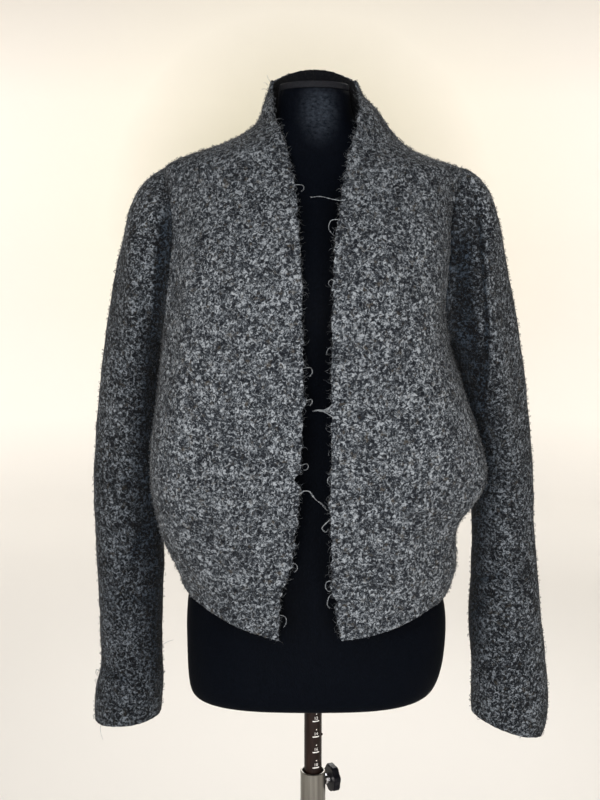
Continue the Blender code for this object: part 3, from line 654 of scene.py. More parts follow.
def strand(points, faces, path, radius, sides=YARN_SIDES):
    """Adds a thin tube along a path, tapering to its tip, to the lists of points and faces."""
    start = len(points)
    last = len(path) - 1
    for i, place in enumerate(path):
        ahead = (path[min(i + 1, last)] - path[max(i - 1, 0)]).normalized()
        across = ahead.orthogonal().normalized()
        other = ahead.cross(across)
        thick = radius * (1 - 0.6 * i / last)
        for k in range(sides):
            turn = 2 * math.pi * k / sides
            points.append(place + (across * math.cos(turn) + other * math.sin(turn)) * thick)
    for i in range(last):
        for k in range(sides):
            a = start + i * sides + k
            b = start + i * sides + (k + 1) % sides
            faces.append((a, b, b + sides, a + sides))
    faces.append(tuple(start + k for k in reversed(range(sides))))
    faces.append(tuple(start + last * sides + k for k in range(sides)))


def yarn_samples(name, paths, radius):
    """A hidden collection of single yarns, one for each path."""
    samples = bpy.data.collections.new(name)
    for i, path in enumerate(paths):
        points, faces = [], []
        strand(points, faces, path, radius)
        mesh = bpy.data.meshes.new(f"{name}_{i}")
        mesh.from_pydata(points, [], faces)
        samples.objects.link(bpy.data.objects.new(f"{name}_{i}", mesh))
    return samples


def loop_path(chance):
    """A curl that stands out of the cloth at both ends, in its own X and Z, leaning over."""
    reach = chance.uniform(*LOOP_RADIUS)
    lean = chance.uniform(-0.9, 0.9)
    opening = chance.uniform(0.2, 0.9)
    path = []
    for i in range(5):
        turn = math.pi * (1.5 - opening / 2) - (2 * math.pi - opening) * i / 4
        x, z = reach * math.cos(turn), reach * (math.sin(turn) + 0.55)
        path.append(Vector((x, z * math.sin(lean) + 0.0002 * i, z * math.cos(lean))))
    return path


def wisp_path(chance):
    """A yarn end that leaves the edge along Z and curls over."""
    length = chance.uniform(*WISP_LENGTH)
    bend = chance.uniform(-1, 1) * 2.2
    wave = chance.uniform(0, 2 * math.pi)
    path = [Vector((0, 0, -0.0008))]
    turn = chance.uniform(-0.5, 0.5)
    for i in range(6):
        turn += bend / 6
        step = length / 6
        drift = 0.0006 * math.sin(wave + i * 1.3)
        path.append(path[-1] + Vector((math.sin(turn) * step, drift, math.cos(turn) * step)))
    return path


def growth_tree():
    """Geometry nodes that plant yarns from a collection on the marked faces of a piece."""
    tree = bpy.data.node_groups.new("planted_yarn", "GeometryNodeTree")
    sockets = (
        ("Cloth", "NodeSocketGeometry"),
        ("Yarns", "NodeSocketCollection"),
        ("Where", "NodeSocketString"),
        ("Density", "NodeSocketFloat"),
        ("Smallest", "NodeSocketFloat"),
        ("Largest", "NodeSocketFloat"),
        ("Lean", "NodeSocketFloat"),
        ("Seed", "NodeSocketInt"),
        ("Material", "NodeSocketMaterial"),
    )
    for name, kind in sockets:
        tree.interface.new_socket(name=name, in_out="INPUT", socket_type=kind)
    tree.interface.new_socket(name="Yarn", in_out="OUTPUT", socket_type="NodeSocketGeometry")
    nodes, links = tree.nodes, tree.links
    given = nodes.new("NodeGroupInput").outputs
    result = nodes.new("NodeGroupOutput")
    where = nodes.new("GeometryNodeInputNamedAttribute")
    where.data_type = "INT"
    links.new(given["Where"], where.inputs["Name"])
    scatter = nodes.new("GeometryNodeDistributePointsOnFaces")
    links.new(given["Cloth"], scatter.inputs["Mesh"])
    links.new(where.outputs["Attribute"], scatter.inputs["Selection"])
    links.new(given["Density"], scatter.inputs["Density"])
    links.new(given["Seed"], scatter.inputs["Seed"])
    yarns = nodes.new("GeometryNodeCollectionInfo")
    yarns.inputs["Separate Children"].default_value = True
    yarns.inputs["Reset Children"].default_value = True
    links.new(given["Yarns"], yarns.inputs["Collection"])
    tilt = nodes.new("FunctionNodeRandomValue")
    tilt.data_type = "FLOAT_VECTOR"
    low = nodes.new("ShaderNodeCombineXYZ")
    high = nodes.new("ShaderNodeCombineXYZ")
    other_way = maths(nodes, links, "MULTIPLY", given["Lean"], -1)
    for axis in ("X", "Y"):
        links.new(other_way, low.inputs[axis])
        links.new(given["Lean"], high.inputs[axis])
    low.inputs["Z"].default_value = -math.pi
    high.inputs["Z"].default_value = math.pi
    links.new(low.outputs["Vector"], tilt.inputs["Min"])
    links.new(high.outputs["Vector"], tilt.inputs["Max"])
    links.new(given["Seed"], tilt.inputs["Seed"])
    turned = nodes.new("FunctionNodeRotateRotation")
    turned.rotation_space = "LOCAL"
    links.new(scatter.outputs["Rotation"], turned.inputs["Rotation"])
    links.new(tilt.outputs["Value"], turned.inputs["Rotate By"])
    scale = nodes.new("FunctionNodeRandomValue")
    links.new(given["Smallest"], scale.inputs[2])
    links.new(given["Largest"], scale.inputs[3])
    links.new(given["Seed"], scale.inputs["Seed"])
    plant = nodes.new("GeometryNodeInstanceOnPoints")
    plant.inputs["Pick Instance"].default_value = True
    links.new(scatter.outputs["Points"], plant.inputs["Points"])
    links.new(yarns.outputs["Instances"], plant.inputs["Instance"])
    links.new(turned.outputs["Rotation"], plant.inputs["Rotation"])
    links.new(scale.outputs[1], plant.inputs["Scale"])
    whole = nodes.new("GeometryNodeRealizeInstances")
    links.new(plant.outputs["Instances"], whole.inputs["Geometry"])
    paint = nodes.new("GeometryNodeSetMaterial")
    links.new(whole.outputs["Geometry"], paint.inputs["Geometry"])
    links.new(given["Material"], paint.inputs["Material"])
    links.new(paint.outputs["Geometry"], result.inputs["Yarn"])
    return tree


chance = random.Random(YARN_SEED)
loops = yarn_samples("loop_yarn", [loop_path(chance) for _ in range(LOOP_SAMPLES)], YARN_RADIUS)
wisps = yarn_samples("wisp_yarn", [wisp_path(chance) for _ in range(WISP_SAMPLES)], YARN_RADIUS * 0.8)
planted = growth_tree()


def plant_yarn(name, cloth, **sizes):
    """Plants yarns on a cloth piece and gives them as a plain piece of their own."""
    planting = cloth.modifiers.new("planting", "NODES")
    planting.node_group = planted
    for socket in planted.interface.items_tree:
        if socket.in_out == "INPUT" and socket.name in sizes:
            planting[socket.identifier] = sizes[socket.name]
    graph = bpy.context.evaluated_depsgraph_get()
    mesh = bpy.data.meshes.new_from_object(cloth.evaluated_get(graph))
    cloth.modifiers.remove(planting)
    mesh.name = name
    mesh.shade_smooth()
    return link_piece(name, mesh)


def plant_loops(name, cloth, density, seed):
    """Plants the boucle's curled loops all over a cloth piece's outside."""
    return plant_yarn(
        name,
        cloth,
        Yarns=loops,
        Where="outer",
        Density=density,
        Smallest=0.7,
        Largest=1.25,
        Lean=0.7,
        Seed=seed,
        Material=yarn_material,
    )


stray_material, nodes, links = new_material("stray_yarn")
stray_tones = colour_ramp(
    nodes,
    links,
    object_noise(nodes, links, 420, 2),
    ((0.35, (0.13, 0.145, 0.165)), (0.65, (0.38, 0.405, 0.43))),
)
finish(nodes, links, stray_tones, Roughness=0.9, Sheen_Weight=0.15)


def smooth_path(corners, step):
    """Points a step apart on a soft curve through the corners."""
    path = []
    for i in range(len(corners) - 1):
        before = corners[max(i - 1, 0)]
        a, b = corners[i], corners[i + 1]
        after = corners[min(i + 2, len(corners) - 1)]
        count = max(2, int((b - a).length / step))
        for k in range(count):
            t = k / count
            bent = (2 * before - 5 * a + 4 * b - after) * t * t + (3 * a - before - 3 * b + after) * t * t * t
            path.append(0.5 * (2 * a + (b - before) * t + bent))
    path.append(corners[-1])
    return path


def stray_yarns(name, cloth, table):
    """Loose yarns of a few thin twisted strands, each from the point of the cloth nearest its first."""
    places = positions(cloth.data)
    points, faces = [], []
    for number, (falls, thick, line) in enumerate(table):
        start = np.array(line[0]) / 1000
        found = places[np.argmin(np.linalg.norm(places[:, (0, 2)] - start, axis=1))]
        corners = [Vector(found)]
        for i, (x, z) in enumerate(line[1:]):
            back = falls / 1000 * ((i + 1) / (len(line) - 1)) ** 2
            corners.append(Vector((x / 1000, found[1] + back, z / 1000)))
        middle = smooth_path(corners, STRAY_STEP)
        for k in range(STRAY_STRANDS):
            path = []
            for i, place in enumerate(middle):
                turn = i * 0.9 + k * 2 * math.pi / STRAY_STRANDS
                open_end = 1 + 1.5 * (i / len(middle)) ** 3
                swing = Vector((math.cos(turn), math.sin(turn), math.cos(turn * 0.5 + number)))
                path.append(place + swing * thick / 1000 * 0.8 * open_end)
            strand(points, faces, path, thick / 1000 * 0.75)
    mesh = bpy.data.meshes.new(name)
    mesh.from_pydata(points, [], faces)
    mesh.shade_smooth()
    return link_piece(name, mesh, stray_material)


# How much darker the cloth is painted all over, and more over the shoulders as painted shade, towards the
# hem and at the hem's left: where that starts, over what distance it comes in, and how much it adds.
DARKER_ALL_OVER = 0.06
SHADE_OVER_SHOULDER = (1.22, 0.1, 0.27)
DARKER_TOWARDS_HEM = (1.04, 0.2, 0.06)
DARKER_AT_HEM_LEFT = (0.0, 0.08, 0.16)


def body_dullness(place):
    """Extra darkening of the cloth: painted shade over the shoulders, where it turns upwards, and darker
    towards the hem.
    """
    shoulder = min(1.0, max(0.0, (place.z - SHADE_OVER_SHOULDER[0]) / SHADE_OVER_SHOULDER[1]))
    low = min(1.0, max(0.0, (DARKER_TOWARDS_HEM[0] - place.z) / DARKER_TOWARDS_HEM[1]))
    leftwards = min(1.0, max(0.0, (DARKER_AT_HEM_LEFT[0] - place.x) / DARKER_AT_HEM_LEFT[1]))
    return DARKER_ALL_OVER + SHADE_OVER_SHOULDER[2] * shoulder + (DARKER_TOWARDS_HEM[2] + DARKER_AT_HEM_LEFT[2] * leftwards) * low


# The two fronts, each cut in one with its half of the standing collar, raw along the front and collar edges
# and along the hem. They hang from the shoulder seams and blouse out over the hips.
# In each crease the fourth number is the painted shade that darkens it.
FRONT_CREASES = {
    "left": (
        (-1, 9, 1.6, 0.16, ((-168, 880), (-127, 909), (-98, 916))),
        (-1, 7, 1.3, 0.12, ((-176, 994), (-159, 986), (-136, 984))),
        (-1, 13, 1.4, 0.10, ((-96, 1260), (-101, 1200), (-92, 1120), (-95, 1050))),
    ),
    "right": (
        (-1, 9, 2.0, 0.20, ((160, 915), (127, 936), (99, 935))),
        (-1, 10, 1.8, 0.18, ((190, 972), (171, 964), (147, 963), (120, 972))),
        (-1, 6, 0.8, 0.42, ((163, 1187), (158, 1148), (163, 1100), (176, 1066))),
        (-1, 15, 1.5, 0.10, ((92, 1240), (99, 1170), (96, 1080))),
        # A painted shadow line on the right collar, pressed to no depth.
        (-1, 6, 0, 0.75, ((49, 1420), (52, 1410), (57, 1396))),
    ),
}
# Nicks and bumps of the raw front edges, in millimetres: height, half height, and how far out (or in, below
# 0).
EDGE_WAVE = 0.0023
EDGE_REACH = 0.012
EDGE_BUMPS = {
    "left": ((1067, 7, 5.0), (982, 6.5, -8.0), (968, 7, 2.0), (884, 8, 4.0), (1296, 4, 1.5), (1150, 8, -1.5)),
    "right": ((1057, 6, 3.0), (952, 14, 1.5), (861, 7, 3.5), (842, 6, -3.5), (1246, 6, 1.5), (1175, 9, -1.5)),
}
# Stray yarns that have come loose along the front edges, in millimetres: how far each falls back, its
# thickness, and (x, z) from where it leaves the cloth.
FRONT_STRAYS = {
    "left": (
        (12, 0.55, ((-15, 966), (-12, 969), (-6, 968), (-1, 961), (8, 952), (14, 945))),
        (0, 0.32, ((-12, 996), (-9, 999), (-7, 996), (-9, 992), (-12, 992))),
        (0, 0.34, ((-9, 1102), (-5, 1103), (-3, 1098), (-6, 1094))),
        (0, 0.28, ((-18, 1297), (-13, 1296), (-12, 1292), (-15, 1290))),
        (0, 0.32, ((-24, 887), (-20, 886), (-19, 881), (-22, 878))),
        (0, 0.26, ((-50, 1410), (-55, 1416), (-58, 1417))),
        (0, 0.24, ((-50, 1404), (-56, 1408), (-60, 1407))),
        (0, 0.24, ((-48, 1412), (-52, 1418), (-53, 1421))),
        (0, 0.28, ((-38, 826), (-33, 824), (-31, 818), (-34, 812))),
        (0, 0.30, ((-8, 1068), (-4, 1069), (-3, 1065), (-6, 1062))),
    ),
    "right": (
        (3, 0.42, ((19, 1061), (13, 1058), (4, 1057), (-2, 1056))),
        (3, 0.38, ((19, 1058), (13, 1057), (6, 1057), (0, 1057))),
        (3, 0.38, ((19, 1055), (14, 1055), (7, 1056), (2, 1057))),
        (3, 0.36, ((19, 1052), (14, 1053), (8, 1056), (4, 1056))),
        (3, 0.34, ((19, 1063), (15, 1060), (11, 1058), (8, 1057))),
        (2, 0.28, ((25, 1278), (15, 1282), (4, 1284), (-5, 1283))),
        (1, 0.32, ((22, 1261), (17, 1258), (15, 1249), (21, 1242))),
        (6, 0.40, ((17, 938), (11, 931), (8, 926), (12, 922), (15, 925))),
        (0, 0.34, ((21, 866), (14, 865), (12, 859), (16, 854), (20, 857))),
        (0, 0.34, ((23, 852), (17, 849), (14, 840), (17, 834))),
        (0, 0.26, ((20, 1125), (14, 1123), (12, 1117))),
        (0, 0.26, ((24, 1194), (17, 1196), (14, 1192), (17, 1188))),
        (0, 0.28, ((18, 985), (14, 983), (14, 978), (17, 975))),
    ),
}
LOOP_DENSITY_FRONT = 40000
WISP_DENSITY = 150000
WISPS_UP_TO = 1.404
EDGE_NEAR = 0.0035
COLLAR_TURN_FROM = 1392
COLLAR_TURN_BLEND = 12


def fringe_strip(word):
    """The strip that stands along a front's raw edge in the frame."""
    shape = bmesh.new()
    shape.from_mesh(frame["nodes"][f"front_fringe_{word}"].data)
    strip = BVHTree.FromBMesh(shape)
    shape.free()
    return strip


def ragged_edge(cloth, word):
    """Gives the raw edge its uneven run: low waves all along, and the nicks and bumps of EDGE_BUMPS."""
    strip = fringe_strip(word)
    inwards = 1 if word == "left" else -1
    places = positions(cloth.data)
    for i, place in enumerate(places):
        distance = strip.find_nearest(Vector(place), EDGE_REACH)[3]
        if distance is None:
            continue
        height = place[2] * 1000
        out = EDGE_WAVE * (noise.noise(Vector((3.1, inwards * 5.0, height / 7.0))) * 1.2)
        out += EDGE_WAVE * noise.noise(Vector((7.7, inwards * 2.0, height / 2.6))) * 0.8
        for middle, half, far in EDGE_BUMPS[word]:
            out += far / 1000 * max(0.0, 1 - ((height - middle) / half) ** 2) ** 1.5
        held = (1 - distance / EDGE_REACH) ** 1.3
        upright = min(1.0, max(0.0, (height - COLLAR_TURN_FROM) / COLLAR_TURN_BLEND))
        places[i, 0] += inwards * out * held * (1 - upright)
        places[i, 2] += abs(out) * held * upright * 0.5
    set_positions(cloth.data, places)


def close_collar_seam(cloth):
    """Brings the two halves of the collar together at the middle of the back."""
    places = positions(cloth.data)
    joined = (np.abs(places[:, 0]) < 0.0035) & (places[:, 1] > 0.02) & (places[:, 2] > 1.3)
    places[joined, 0] = 0
    set_positions(cloth.data, places)


def mark_raw_edge(cloth, word):
    """Marks the fine cloth's faces along the raw edge, beside the strip that stands there in the frame."""
    strip = fringe_strip(word)
    mesh = cloth.data
    outer = mesh.attributes["outer"].data
    flags = []
    for face in mesh.polygons:
        beside = face.center.z < WISPS_UP_TO and strip.find_nearest(face.center, EDGE_NEAR)[0] is not None
        flags.append(int(beside and not outer[face.index].value))
    mesh.attributes.new("raw_edge", "INT", "FACE").data.foreach_set("value", flags)


fronts = {}
for number, word in enumerate(("left", "right")):
    front = fine_cloth(f"front_{word}_cloth", f"jacket_front_{word}", wool, 3, extra_shade=body_dullness)
    press_creases(front, FRONT_CREASES[word])
    ragged_edge(front, word)
    roughen(front)
    close_collar_seam(front)
    mark_raw_edge(front, word)
    curls = plant_loops(f"front_{word}_loops", front, LOOP_DENSITY_FRONT, number)
    ends = plant_yarn(
        f"front_{word}_wisps",
        front,
        Yarns=wisps,
        Where="raw_edge",
        Density=WISP_DENSITY,
        Smallest=0.5,
        Largest=1.2,
        Lean=0.6,
        Seed=20 + number,
        Material=yarn_material,
    )
    strays = stray_yarns(f"front_{word}_strays", front, FRONT_STRAYS[word])
    fronts[word] = front
    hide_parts(f"jacket_front_{word}")
    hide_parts(f"front_fringe_{word}")
    slots = (
        (front, "wool_boucle"),
        (curls, "wool_yarn"),
        (ends, "wool_yarn"),
        (strays, "wool_yarn"),
    )
    for piece, slot in slots:
        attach(piece, "form")

# The back, one piece from side seam to side seam, hung from the shoulders.
# In each crease the fourth number is the painted shade that darkens it.
BACK_CREASES = (
    (1, 14, 2.0, 0.20, ((-118, 1225), (-112, 1150), (-120, 1070), (-116, 1000))),
    (1, 11, 1.8, 0.18, ((104, 1240), (112, 1170), (106, 1090), (112, 1030))),
    (1, 12, 1.5, 0.14, ((-40, 1150), (-34, 1060), (-42, 960))),
    (1, 9, 1.5, 0.14, ((44, 1010), (60, 950), (58, 890))),
    (1, 9, 1.6, 0.16, ((-150, 905), (-118, 922), (-84, 918))),
    (1, 8, 1.6, 0.16, ((160, 930), (128, 916), (98, 924))),
)
LOOP_DENSITY_BACK = 16000

back = fine_cloth("back_cloth", "jacket_back", wool, extra_shade=body_dullness)
press_creases(back, BACK_CREASES)
roughen(back)
back_curls = plant_loops("back_loops", back, LOOP_DENSITY_BACK, 2)
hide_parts("jacket_back")
for piece, slot in ((back, "wool_boucle"), (back_curls, "wool_yarn")):
    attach(piece, "form")

# The sleeves, each one piece sewn into a tube and set into its armhole, empty and open at the cuff. They
# hang back beside the body, creased along the armhole and at the elbow.
# Painted shade on the sleeves: how much darker below the shoulder's turn, from where, and over what height.
SLEEVE_PAINTED_SHADE = 0.46
SLEEVE_SHADE_BELOW = 1.315
SLEEVE_SHADE_BLEND = 0.1
HEAD_REACH = 0.040
HEAD_LOWEST = 1.225
SLEEVE_NUDGES = {
    "left": (((-206, 0, 1262), 62, (2.5, 0, 0)),),
    "right": (((207, 0, 1262), 62, (-3, 0, 0)), ((166, 0, 1130), 48, (-6, -1, 0))),
}
# In each crease the fourth number is the painted shade that darkens it; the armhole creases carry the most.
SLEEVE_CREASES = {
    "left": (
        (
            -1, 10, 3.8, 0.70,
            ((-168, 1288), (-169, 1246), (-174, 1183), (-181, 1123), (-189, 1030), (-190, 975)),
        ),
        (-1, 14, 1.6, 0.12, ((-222, 1240), (-226, 1150), (-222, 1060))),
        (-1, 6, 1.5, 0.22, ((-263, 949), (-240, 953), (-209, 952))),
        (-1, 6, 1.2, 0.16, ((-260, 806), (-227, 808), (-193, 805))),
        (-1, 7, 1.5, 0.20, ((-264, 717), (-245, 711), (-222, 708))),
        (-1, 8, 1.5, 0.18, ((-196, 904), (-210, 881), (-218, 851))),
        (1, 10, 2.2, 0.25, ((-190, 1250), (-196, 1180), (-200, 1110))),
        (1, 8, 1.8, 0.22, ((-258, 965), (-232, 951), (-206, 956))),
        (1, 7, 1.6, 0.20, ((-256, 905), (-230, 912), (-208, 902))),
        (1, 9, 1.5, 0.15, ((-236, 850), (-240, 770), (-234, 700))),
    ),
    "right": (
        (
            -1, 5, 3.2, 0.55,
            ((178, 1302), (184, 1276), (188, 1248), (190, 1211), (196, 1146), (198, 1091), (195, 1038)),
        ),
        (-1, 21, 2.6, 0.42, ((176, 1272), (170, 1211), (169, 1158), (178, 1089), (188, 1030))),
        (-1, 7, 1.6, 0.24, ((196, 822), (225, 836), (262, 827))),
        (-1, 6, 1.4, 0.20, ((215, 965), (236, 957), (261, 951))),
        (-1, 6, 1.3, 0.16, ((231, 759), (253, 761), (278, 750))),
        (-1, 7, 1.4, 0.18, ((194, 781), (210, 804), (229, 813))),
        (1, 10, 2.2, 0.25, ((192, 1240), (198, 1170), (204, 1100))),
        (1, 8, 1.8, 0.22, ((204, 960), (232, 948), (262, 958))),
        (1, 7, 1.6, 0.20, ((212, 840), (240, 828), (268, 838))),
        (1, 9, 1.5, 0.15, ((246, 790), (250, 720), (244, 670))),
    ),
}
SLEEVE_STRAYS = {
    "left": (
        (0, 0.20, ((-188, 737), (-181, 741), (-174, 743))),
        (0, 0.18, ((-259, 652), (-262, 640), (-259, 626))),
        (0, 0.30, ((-265, 700), (-271, 703), (-272, 697), (-266, 693))),
    ),
    "right": (
        (0, 0.20, ((284, 742), (290, 738), (291, 730))),
        (0, 0.18, ((205, 668), (199, 664), (197, 657))),
    ),
}
LOOP_DENSITY_SLEEVE = 22000


def sleeve_dullness(place):
    """Painted shade: the sleeves hang back beside the body and are painted darker from the shoulder's turn
    downwards.
    """
    down = min(1.0, max(0.0, (SLEEVE_SHADE_BELOW - place.z) / SLEEVE_SHADE_BLEND))
    return body_dullness(place) + SLEEVE_PAINTED_SHADE * down


for number, word in enumerate(("left", "right")):
    sleeve = fine_cloth(f"sleeve_{word}_cloth", f"sleeve_{word}", sleeve_wool, extra_shade=sleeve_dullness)
    nudge(sleeve, SLEEVE_NUDGES[word])
    meet_flush(sleeve, (fronts[word], back), HEAD_REACH, HEAD_LOWEST)
    press_creases(sleeve, SLEEVE_CREASES[word])
    roughen(sleeve)
    curls = plant_loops(f"sleeve_{word}_loops", sleeve, LOOP_DENSITY_SLEEVE, 3 + number)
    strays = stray_yarns(f"sleeve_{word}_strays", sleeve, SLEEVE_STRAYS[word])
    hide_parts(f"sleeve_{word}")
    for piece, slot in ((sleeve, "wool_boucle_sleeve"), (curls, "wool_yarn"), (strays, "wool_yarn")):
        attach(piece, "form")

for samples in (loops, wisps):
    for sample in list(samples.objects):
        bpy.data.objects.remove(sample)
    bpy.data.collections.remove(samples)

# The dress form: a firm foam torso and neck pulled tight in black cotton jersey, with no arms. A painted
# sheen lightens the jersey in mottles on the front of the neck; painted shade darkens it where the jacket
# crowds it.
JERSEY_RIB = 0.0011
JERSEY_DARK = (0.0006, 0.0011, 0.0024)
JERSEY_LIGHT = (0.0022, 0.0036, 0.0070)
JERSEY_PAINTED_SHEEN = (0.034, 0.042, 0.056)
SHEEN_MIDDLE = (0.005, -0.035, 1.378)
SHEEN_REACH = (0.024, 0.03, 0.04)
SHEEN_FADE = (1.25, 0.1)

jersey, nodes, links = new_material("black_jersey_knit")
knit = object_noise(nodes, links, 1 / JERSEY_RIB, 2, 0.6, stretch=(1, 1, 0.45))
cloth_tone = colour_ramp(nodes, links, knit, ((0.35, JERSEY_DARK), (0.75, JERSEY_LIGHT)))
# Painted sheen: a mottled paler patch on the front of the neck, fading out from its middle.
place = nodes.new("ShaderNodeTexCoord").outputs["Object"]
off_middle = vector_maths(nodes, links, "SUBTRACT", place, SHEEN_MIDDLE)
far = vector_maths(nodes, links, "LENGTH", vector_maths(nodes, links, "DIVIDE", off_middle, SHEEN_REACH))
inside = nodes.new("ShaderNodeMapRange")
inside.interpolation_type = "SMOOTHSTEP"
inside.inputs["From Min"].default_value = SHEEN_FADE[0]
inside.inputs["From Max"].default_value = SHEEN_FADE[1]
links.new(far, inside.inputs["Value"])
mottle = mapped(nodes, links, object_noise(nodes, links, 210, 4, 0.7, stretch=(1, 1, 1.6)), 0.32, 0.68)
sheen_share = maths(nodes, links, "MULTIPLY", inside.outputs["Result"], mottle)
paler = blended(nodes, links, sheen_share, cloth_tone, JERSEY_PAINTED_SHEEN)
finish(
    nodes,
    links,
    darkened_in_hollows(nodes, links, paler),
    Roughness=0.7,
    Specular_IOR_Level=0.03,
    Sheen_Weight=0.01,
    Sheen_Roughness=0.4,
)
add_bump(nodes, links, knit, 0.35, 0.0006)

torso = fine_cloth("form_cover", "dress_form", jersey, levels=2)
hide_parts("dress_form")
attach(torso, "form")

# The neck cap: a thin board glued on top of the neck, covered in the same black as the form but matt.


def noisy_look(name, pattern, stops, bump, relief=None, **values):
    """A material toned by one noise pattern, with the relief of the same pattern or of one of its own."""
    made, nodes, links = new_material(name)
    tone = object_noise(nodes, links, *pattern)
    finish(nodes, links, colour_ramp(nodes, links, tone, stops), **values)
    add_bump(nodes, links, object_noise(nodes, links, *relief) if relief else tone, *bump)
    return made


cap_board = noisy_look(
    "neck_cap_board",
    (900, 3, 0.7),
    ((0.3, (0.005, 0.0053, 0.0075)), (0.7, (0.014, 0.015, 0.019))),
    (0.3, 0.0003),
    (1400, 2),
    Roughness=0.8,
    Specular_IOR_Level=0.15,
)
frame["nodes"]["neck_cap"].material_slots[0].material = cap_board

# The pole: a steel tube painted a dark reddish brown, scuffed where it slides in the stand, that carries
# the form. A white height scale is printed on it, 2 cm apart, with small generic numbers. A sprung stop
# sits on its right.
POLE_RADIUS = 10.8
SCALE_TURN = math.radians(20)
SCALE_HALF_TURN = math.radians(23)
SCALE_TOP = 675
SCALE_PITCH = 20
SCALE_MARKS = 20
MARK_HEIGHT = 1.3
MARK_THICK = 0.08
MARK_SUNK = 0.02
MARK_STEPS = 8
DIGIT_HEIGHT = 5.4
STOP_TURN = math.radians(78)
STOP_PLACE = 635
STOP_RADIUS = 1.9
STOP_SUNK = 0.4

paint, nodes, links = new_material("brown_pole_paint")
scuff = object_noise(nodes, links, 130, 4, 0.65, stretch=(1, 1, 0.12))
scuffed = colour_ramp(
    nodes,
    links,
    scuff,
    ((0.3, (0.005, 0.0020, 0.0016)), (0.6, (0.012, 0.0048, 0.0034)), (0.8, (0.026, 0.013, 0.0095))),
)
finish(nodes, links, scuffed, Specular_IOR_Level=0.18)
links.new(mapped(nodes, links, scuff, 0, 1, 0.3, 0.5), nodes["Principled BSDF"].inputs["Roughness"])
add_bump(nodes, links, object_noise(nodes, links, 700, 3), 0.12, 0.0003)
frame["nodes"]["pole"].material_slots[0].material = paint

print_white = noisy_look(
    "scale_print",
    (1600, 3, 0.7),
    ((0.32, (0.33, 0.27, 0.24)), (0.48, (0.80, 0.78, 0.76)), (0.7, (0.92, 0.91, 0.90))),
    (0.2, 0.0001),
    (900, 2),
    Roughness=0.55,
)


def on_pole(across, up, out):
    """A point on the pole's skin, across and up in millimetres from the middle of the scale."""
    turn = SCALE_TURN + across / POLE_RADIUS
    far = (POLE_RADIUS + out) / 1000
    return Vector((far * math.sin(turn), -far * math.cos(turn), up / 1000))


def printed_bar(shape, left, right, low, high, steps):
    """Adds a thin closed bar of print, bent round the pole."""
    rings = []
    for i in range(steps + 1):
        across = left + (right - left) * i / steps
        rings.append(
            [
                shape.verts.new(on_pole(across, up, out))
                for up, out in ((low, MARK_SUNK), (low, MARK_THICK), (high, MARK_THICK), (high, MARK_SUNK))
            ]
        )
    for before, after in zip(rings[:-1], rings[1:]):
        for k in range(4):
            n = (k + 1) % 4
            shape.faces.new((before[k], before[n], after[n], after[k]))
    shape.faces.new(rings[0][::-1])
    shape.faces.new(rings[-1])


def printed_number(shape, number, up):
    """Adds a small number over a mark, made a mesh and then bent round the pole."""
    text = bpy.data.curves.new("number", "FONT")
    text.body = str(number)
    text.align_x = "CENTER"
    text.size = DIGIT_HEIGHT
    text.extrude = 0.5
    text.resolution_u = 2
    sign = bpy.data.objects.new("number", text)
    bpy.context.collection.objects.link(sign)
    flat = bpy.data.meshes.new_from_object(sign.evaluated_get(bpy.context.evaluated_depsgraph_get()))
    bpy.data.objects.remove(sign)
    bpy.data.curves.remove(text)
    for vert in flat.vertices:
        out = MARK_THICK if vert.co.z > 0 else MARK_SUNK
        vert.co = on_pole(vert.co.x, up + vert.co.y, out)
    shape.from_mesh(flat)
    bpy.data.meshes.remove(flat)


scale_shape = bmesh.new()
half = SCALE_HALF_TURN * POLE_RADIUS
for i in range(SCALE_MARKS):
    up = SCALE_TOP - i * SCALE_PITCH
    printed_bar(scale_shape, -half, half, up - MARK_HEIGHT / 2, up + MARK_HEIGHT / 2, MARK_STEPS)
    printed_bar(scale_shape, -0.1, 1.1, up + 8.6, up + 9.8, 2)
    printed_number(scale_shape, 10 + 2 * i, up + 2.1)
bmesh.ops.remove_doubles(scale_shape, verts=scale_shape.verts, dist=0.000002)
bmesh.ops.recalc_face_normals(scale_shape, faces=scale_shape.faces)
scale_mesh = bpy.data.meshes.new("pole_scale")
scale_shape.to_mesh(scale_mesh)
scale_shape.free()
scale = link_piece("pole_scale", scale_mesh, print_white)
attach(scale, "mast")

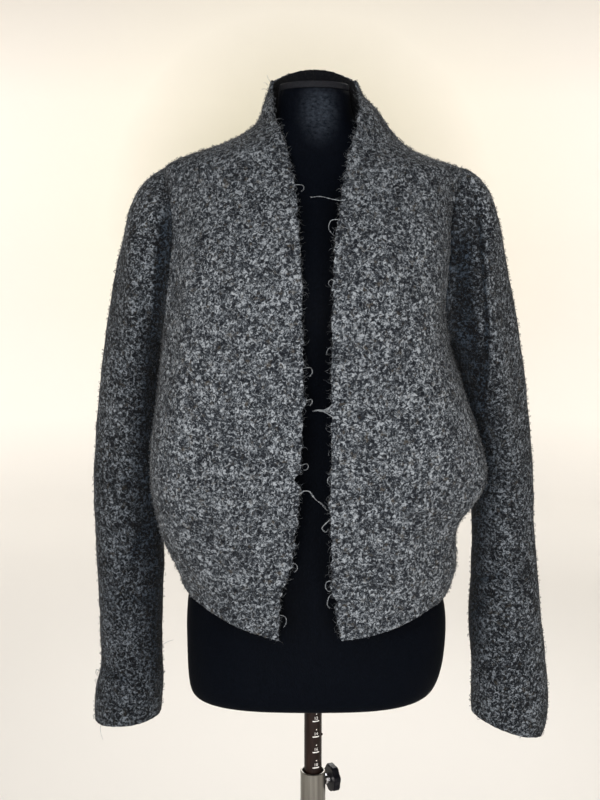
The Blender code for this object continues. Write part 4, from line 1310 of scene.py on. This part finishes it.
stop_shape = bmesh.new()
bmesh.ops.create_uvsphere(stop_shape, u_segments=14, v_segments=8, radius=STOP_RADIUS / 1000)
stop_place = Vector((math.sin(STOP_TURN), -math.cos(STOP_TURN), 0)) * (POLE_RADIUS - STOP_SUNK) / 1000
stop_shape.transform(Matrix.Translation(stop_place + Vector((0, 0, STOP_PLACE / 1000))))
stop_mesh = bpy.data.meshes.new("pole_stop")
stop_shape.to_mesh(stop_mesh)
stop_shape.free()
stop_mesh.shade_smooth()
stop = link_piece("pole_stop", stop_mesh, paint)
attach(stop, "mast")

# The clamp and the stand: a steel tube with a rolled bright rim stands in a round painted base. A nut
# welded to its side takes the screw of a black moulded knob, which presses on the pole.
steel = noisy_look(
    "satin_steel_tube",
    (260, 3, 0.6, (1, 1, 0.03)),
    ((0.3, (0.16, 0.15, 0.135)), (0.7, (0.25, 0.24, 0.215))),
    (0.08, 0.0002),
    Metallic=0.85,
    Roughness=0.34,
)
frame["nodes"]["stand_tube"].material_slots[0].material = steel

bright = noisy_look(
    "plated_steel",
    (900, 2),
    ((0.35, (0.55, 0.55, 0.57)), (0.7, (0.72, 0.72, 0.74))),
    (0.1, 0.0002),
    Metallic=1.0,
    Roughness=0.25,
)
for node in ("clamp_nut", "clamp_screw"):
    frame["nodes"][node].material_slots[0].material = bright

moulded = noisy_look(
    "moulded_black_knob",
    (1300, 3, 0.6),
    ((0.3, (0.0015, 0.0015, 0.003)), (0.75, (0.0055, 0.0055, 0.009))),
    (0.25, 0.0003),
    Roughness=0.4,
    Specular_IOR_Level=0.14,
)
frame["nodes"]["clamp_knob"].material_slots[0].material = moulded

base_paint = noisy_look(
    "black_base_paint",
    (22, 4, 0.65),
    ((0.35, (0.010, 0.010, 0.011)), (0.7, (0.026, 0.025, 0.024))),
    (0.15, 0.0004),
    (380, 3, 0.55),
    Roughness=0.36,
    Coat_Weight=0.2,
)
frame["nodes"]["stand_base"].material_slots[0].material = base_paint

size = {"cad": [list(corner) for corner in cad_box], "visual": [list(corner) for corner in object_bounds()]}
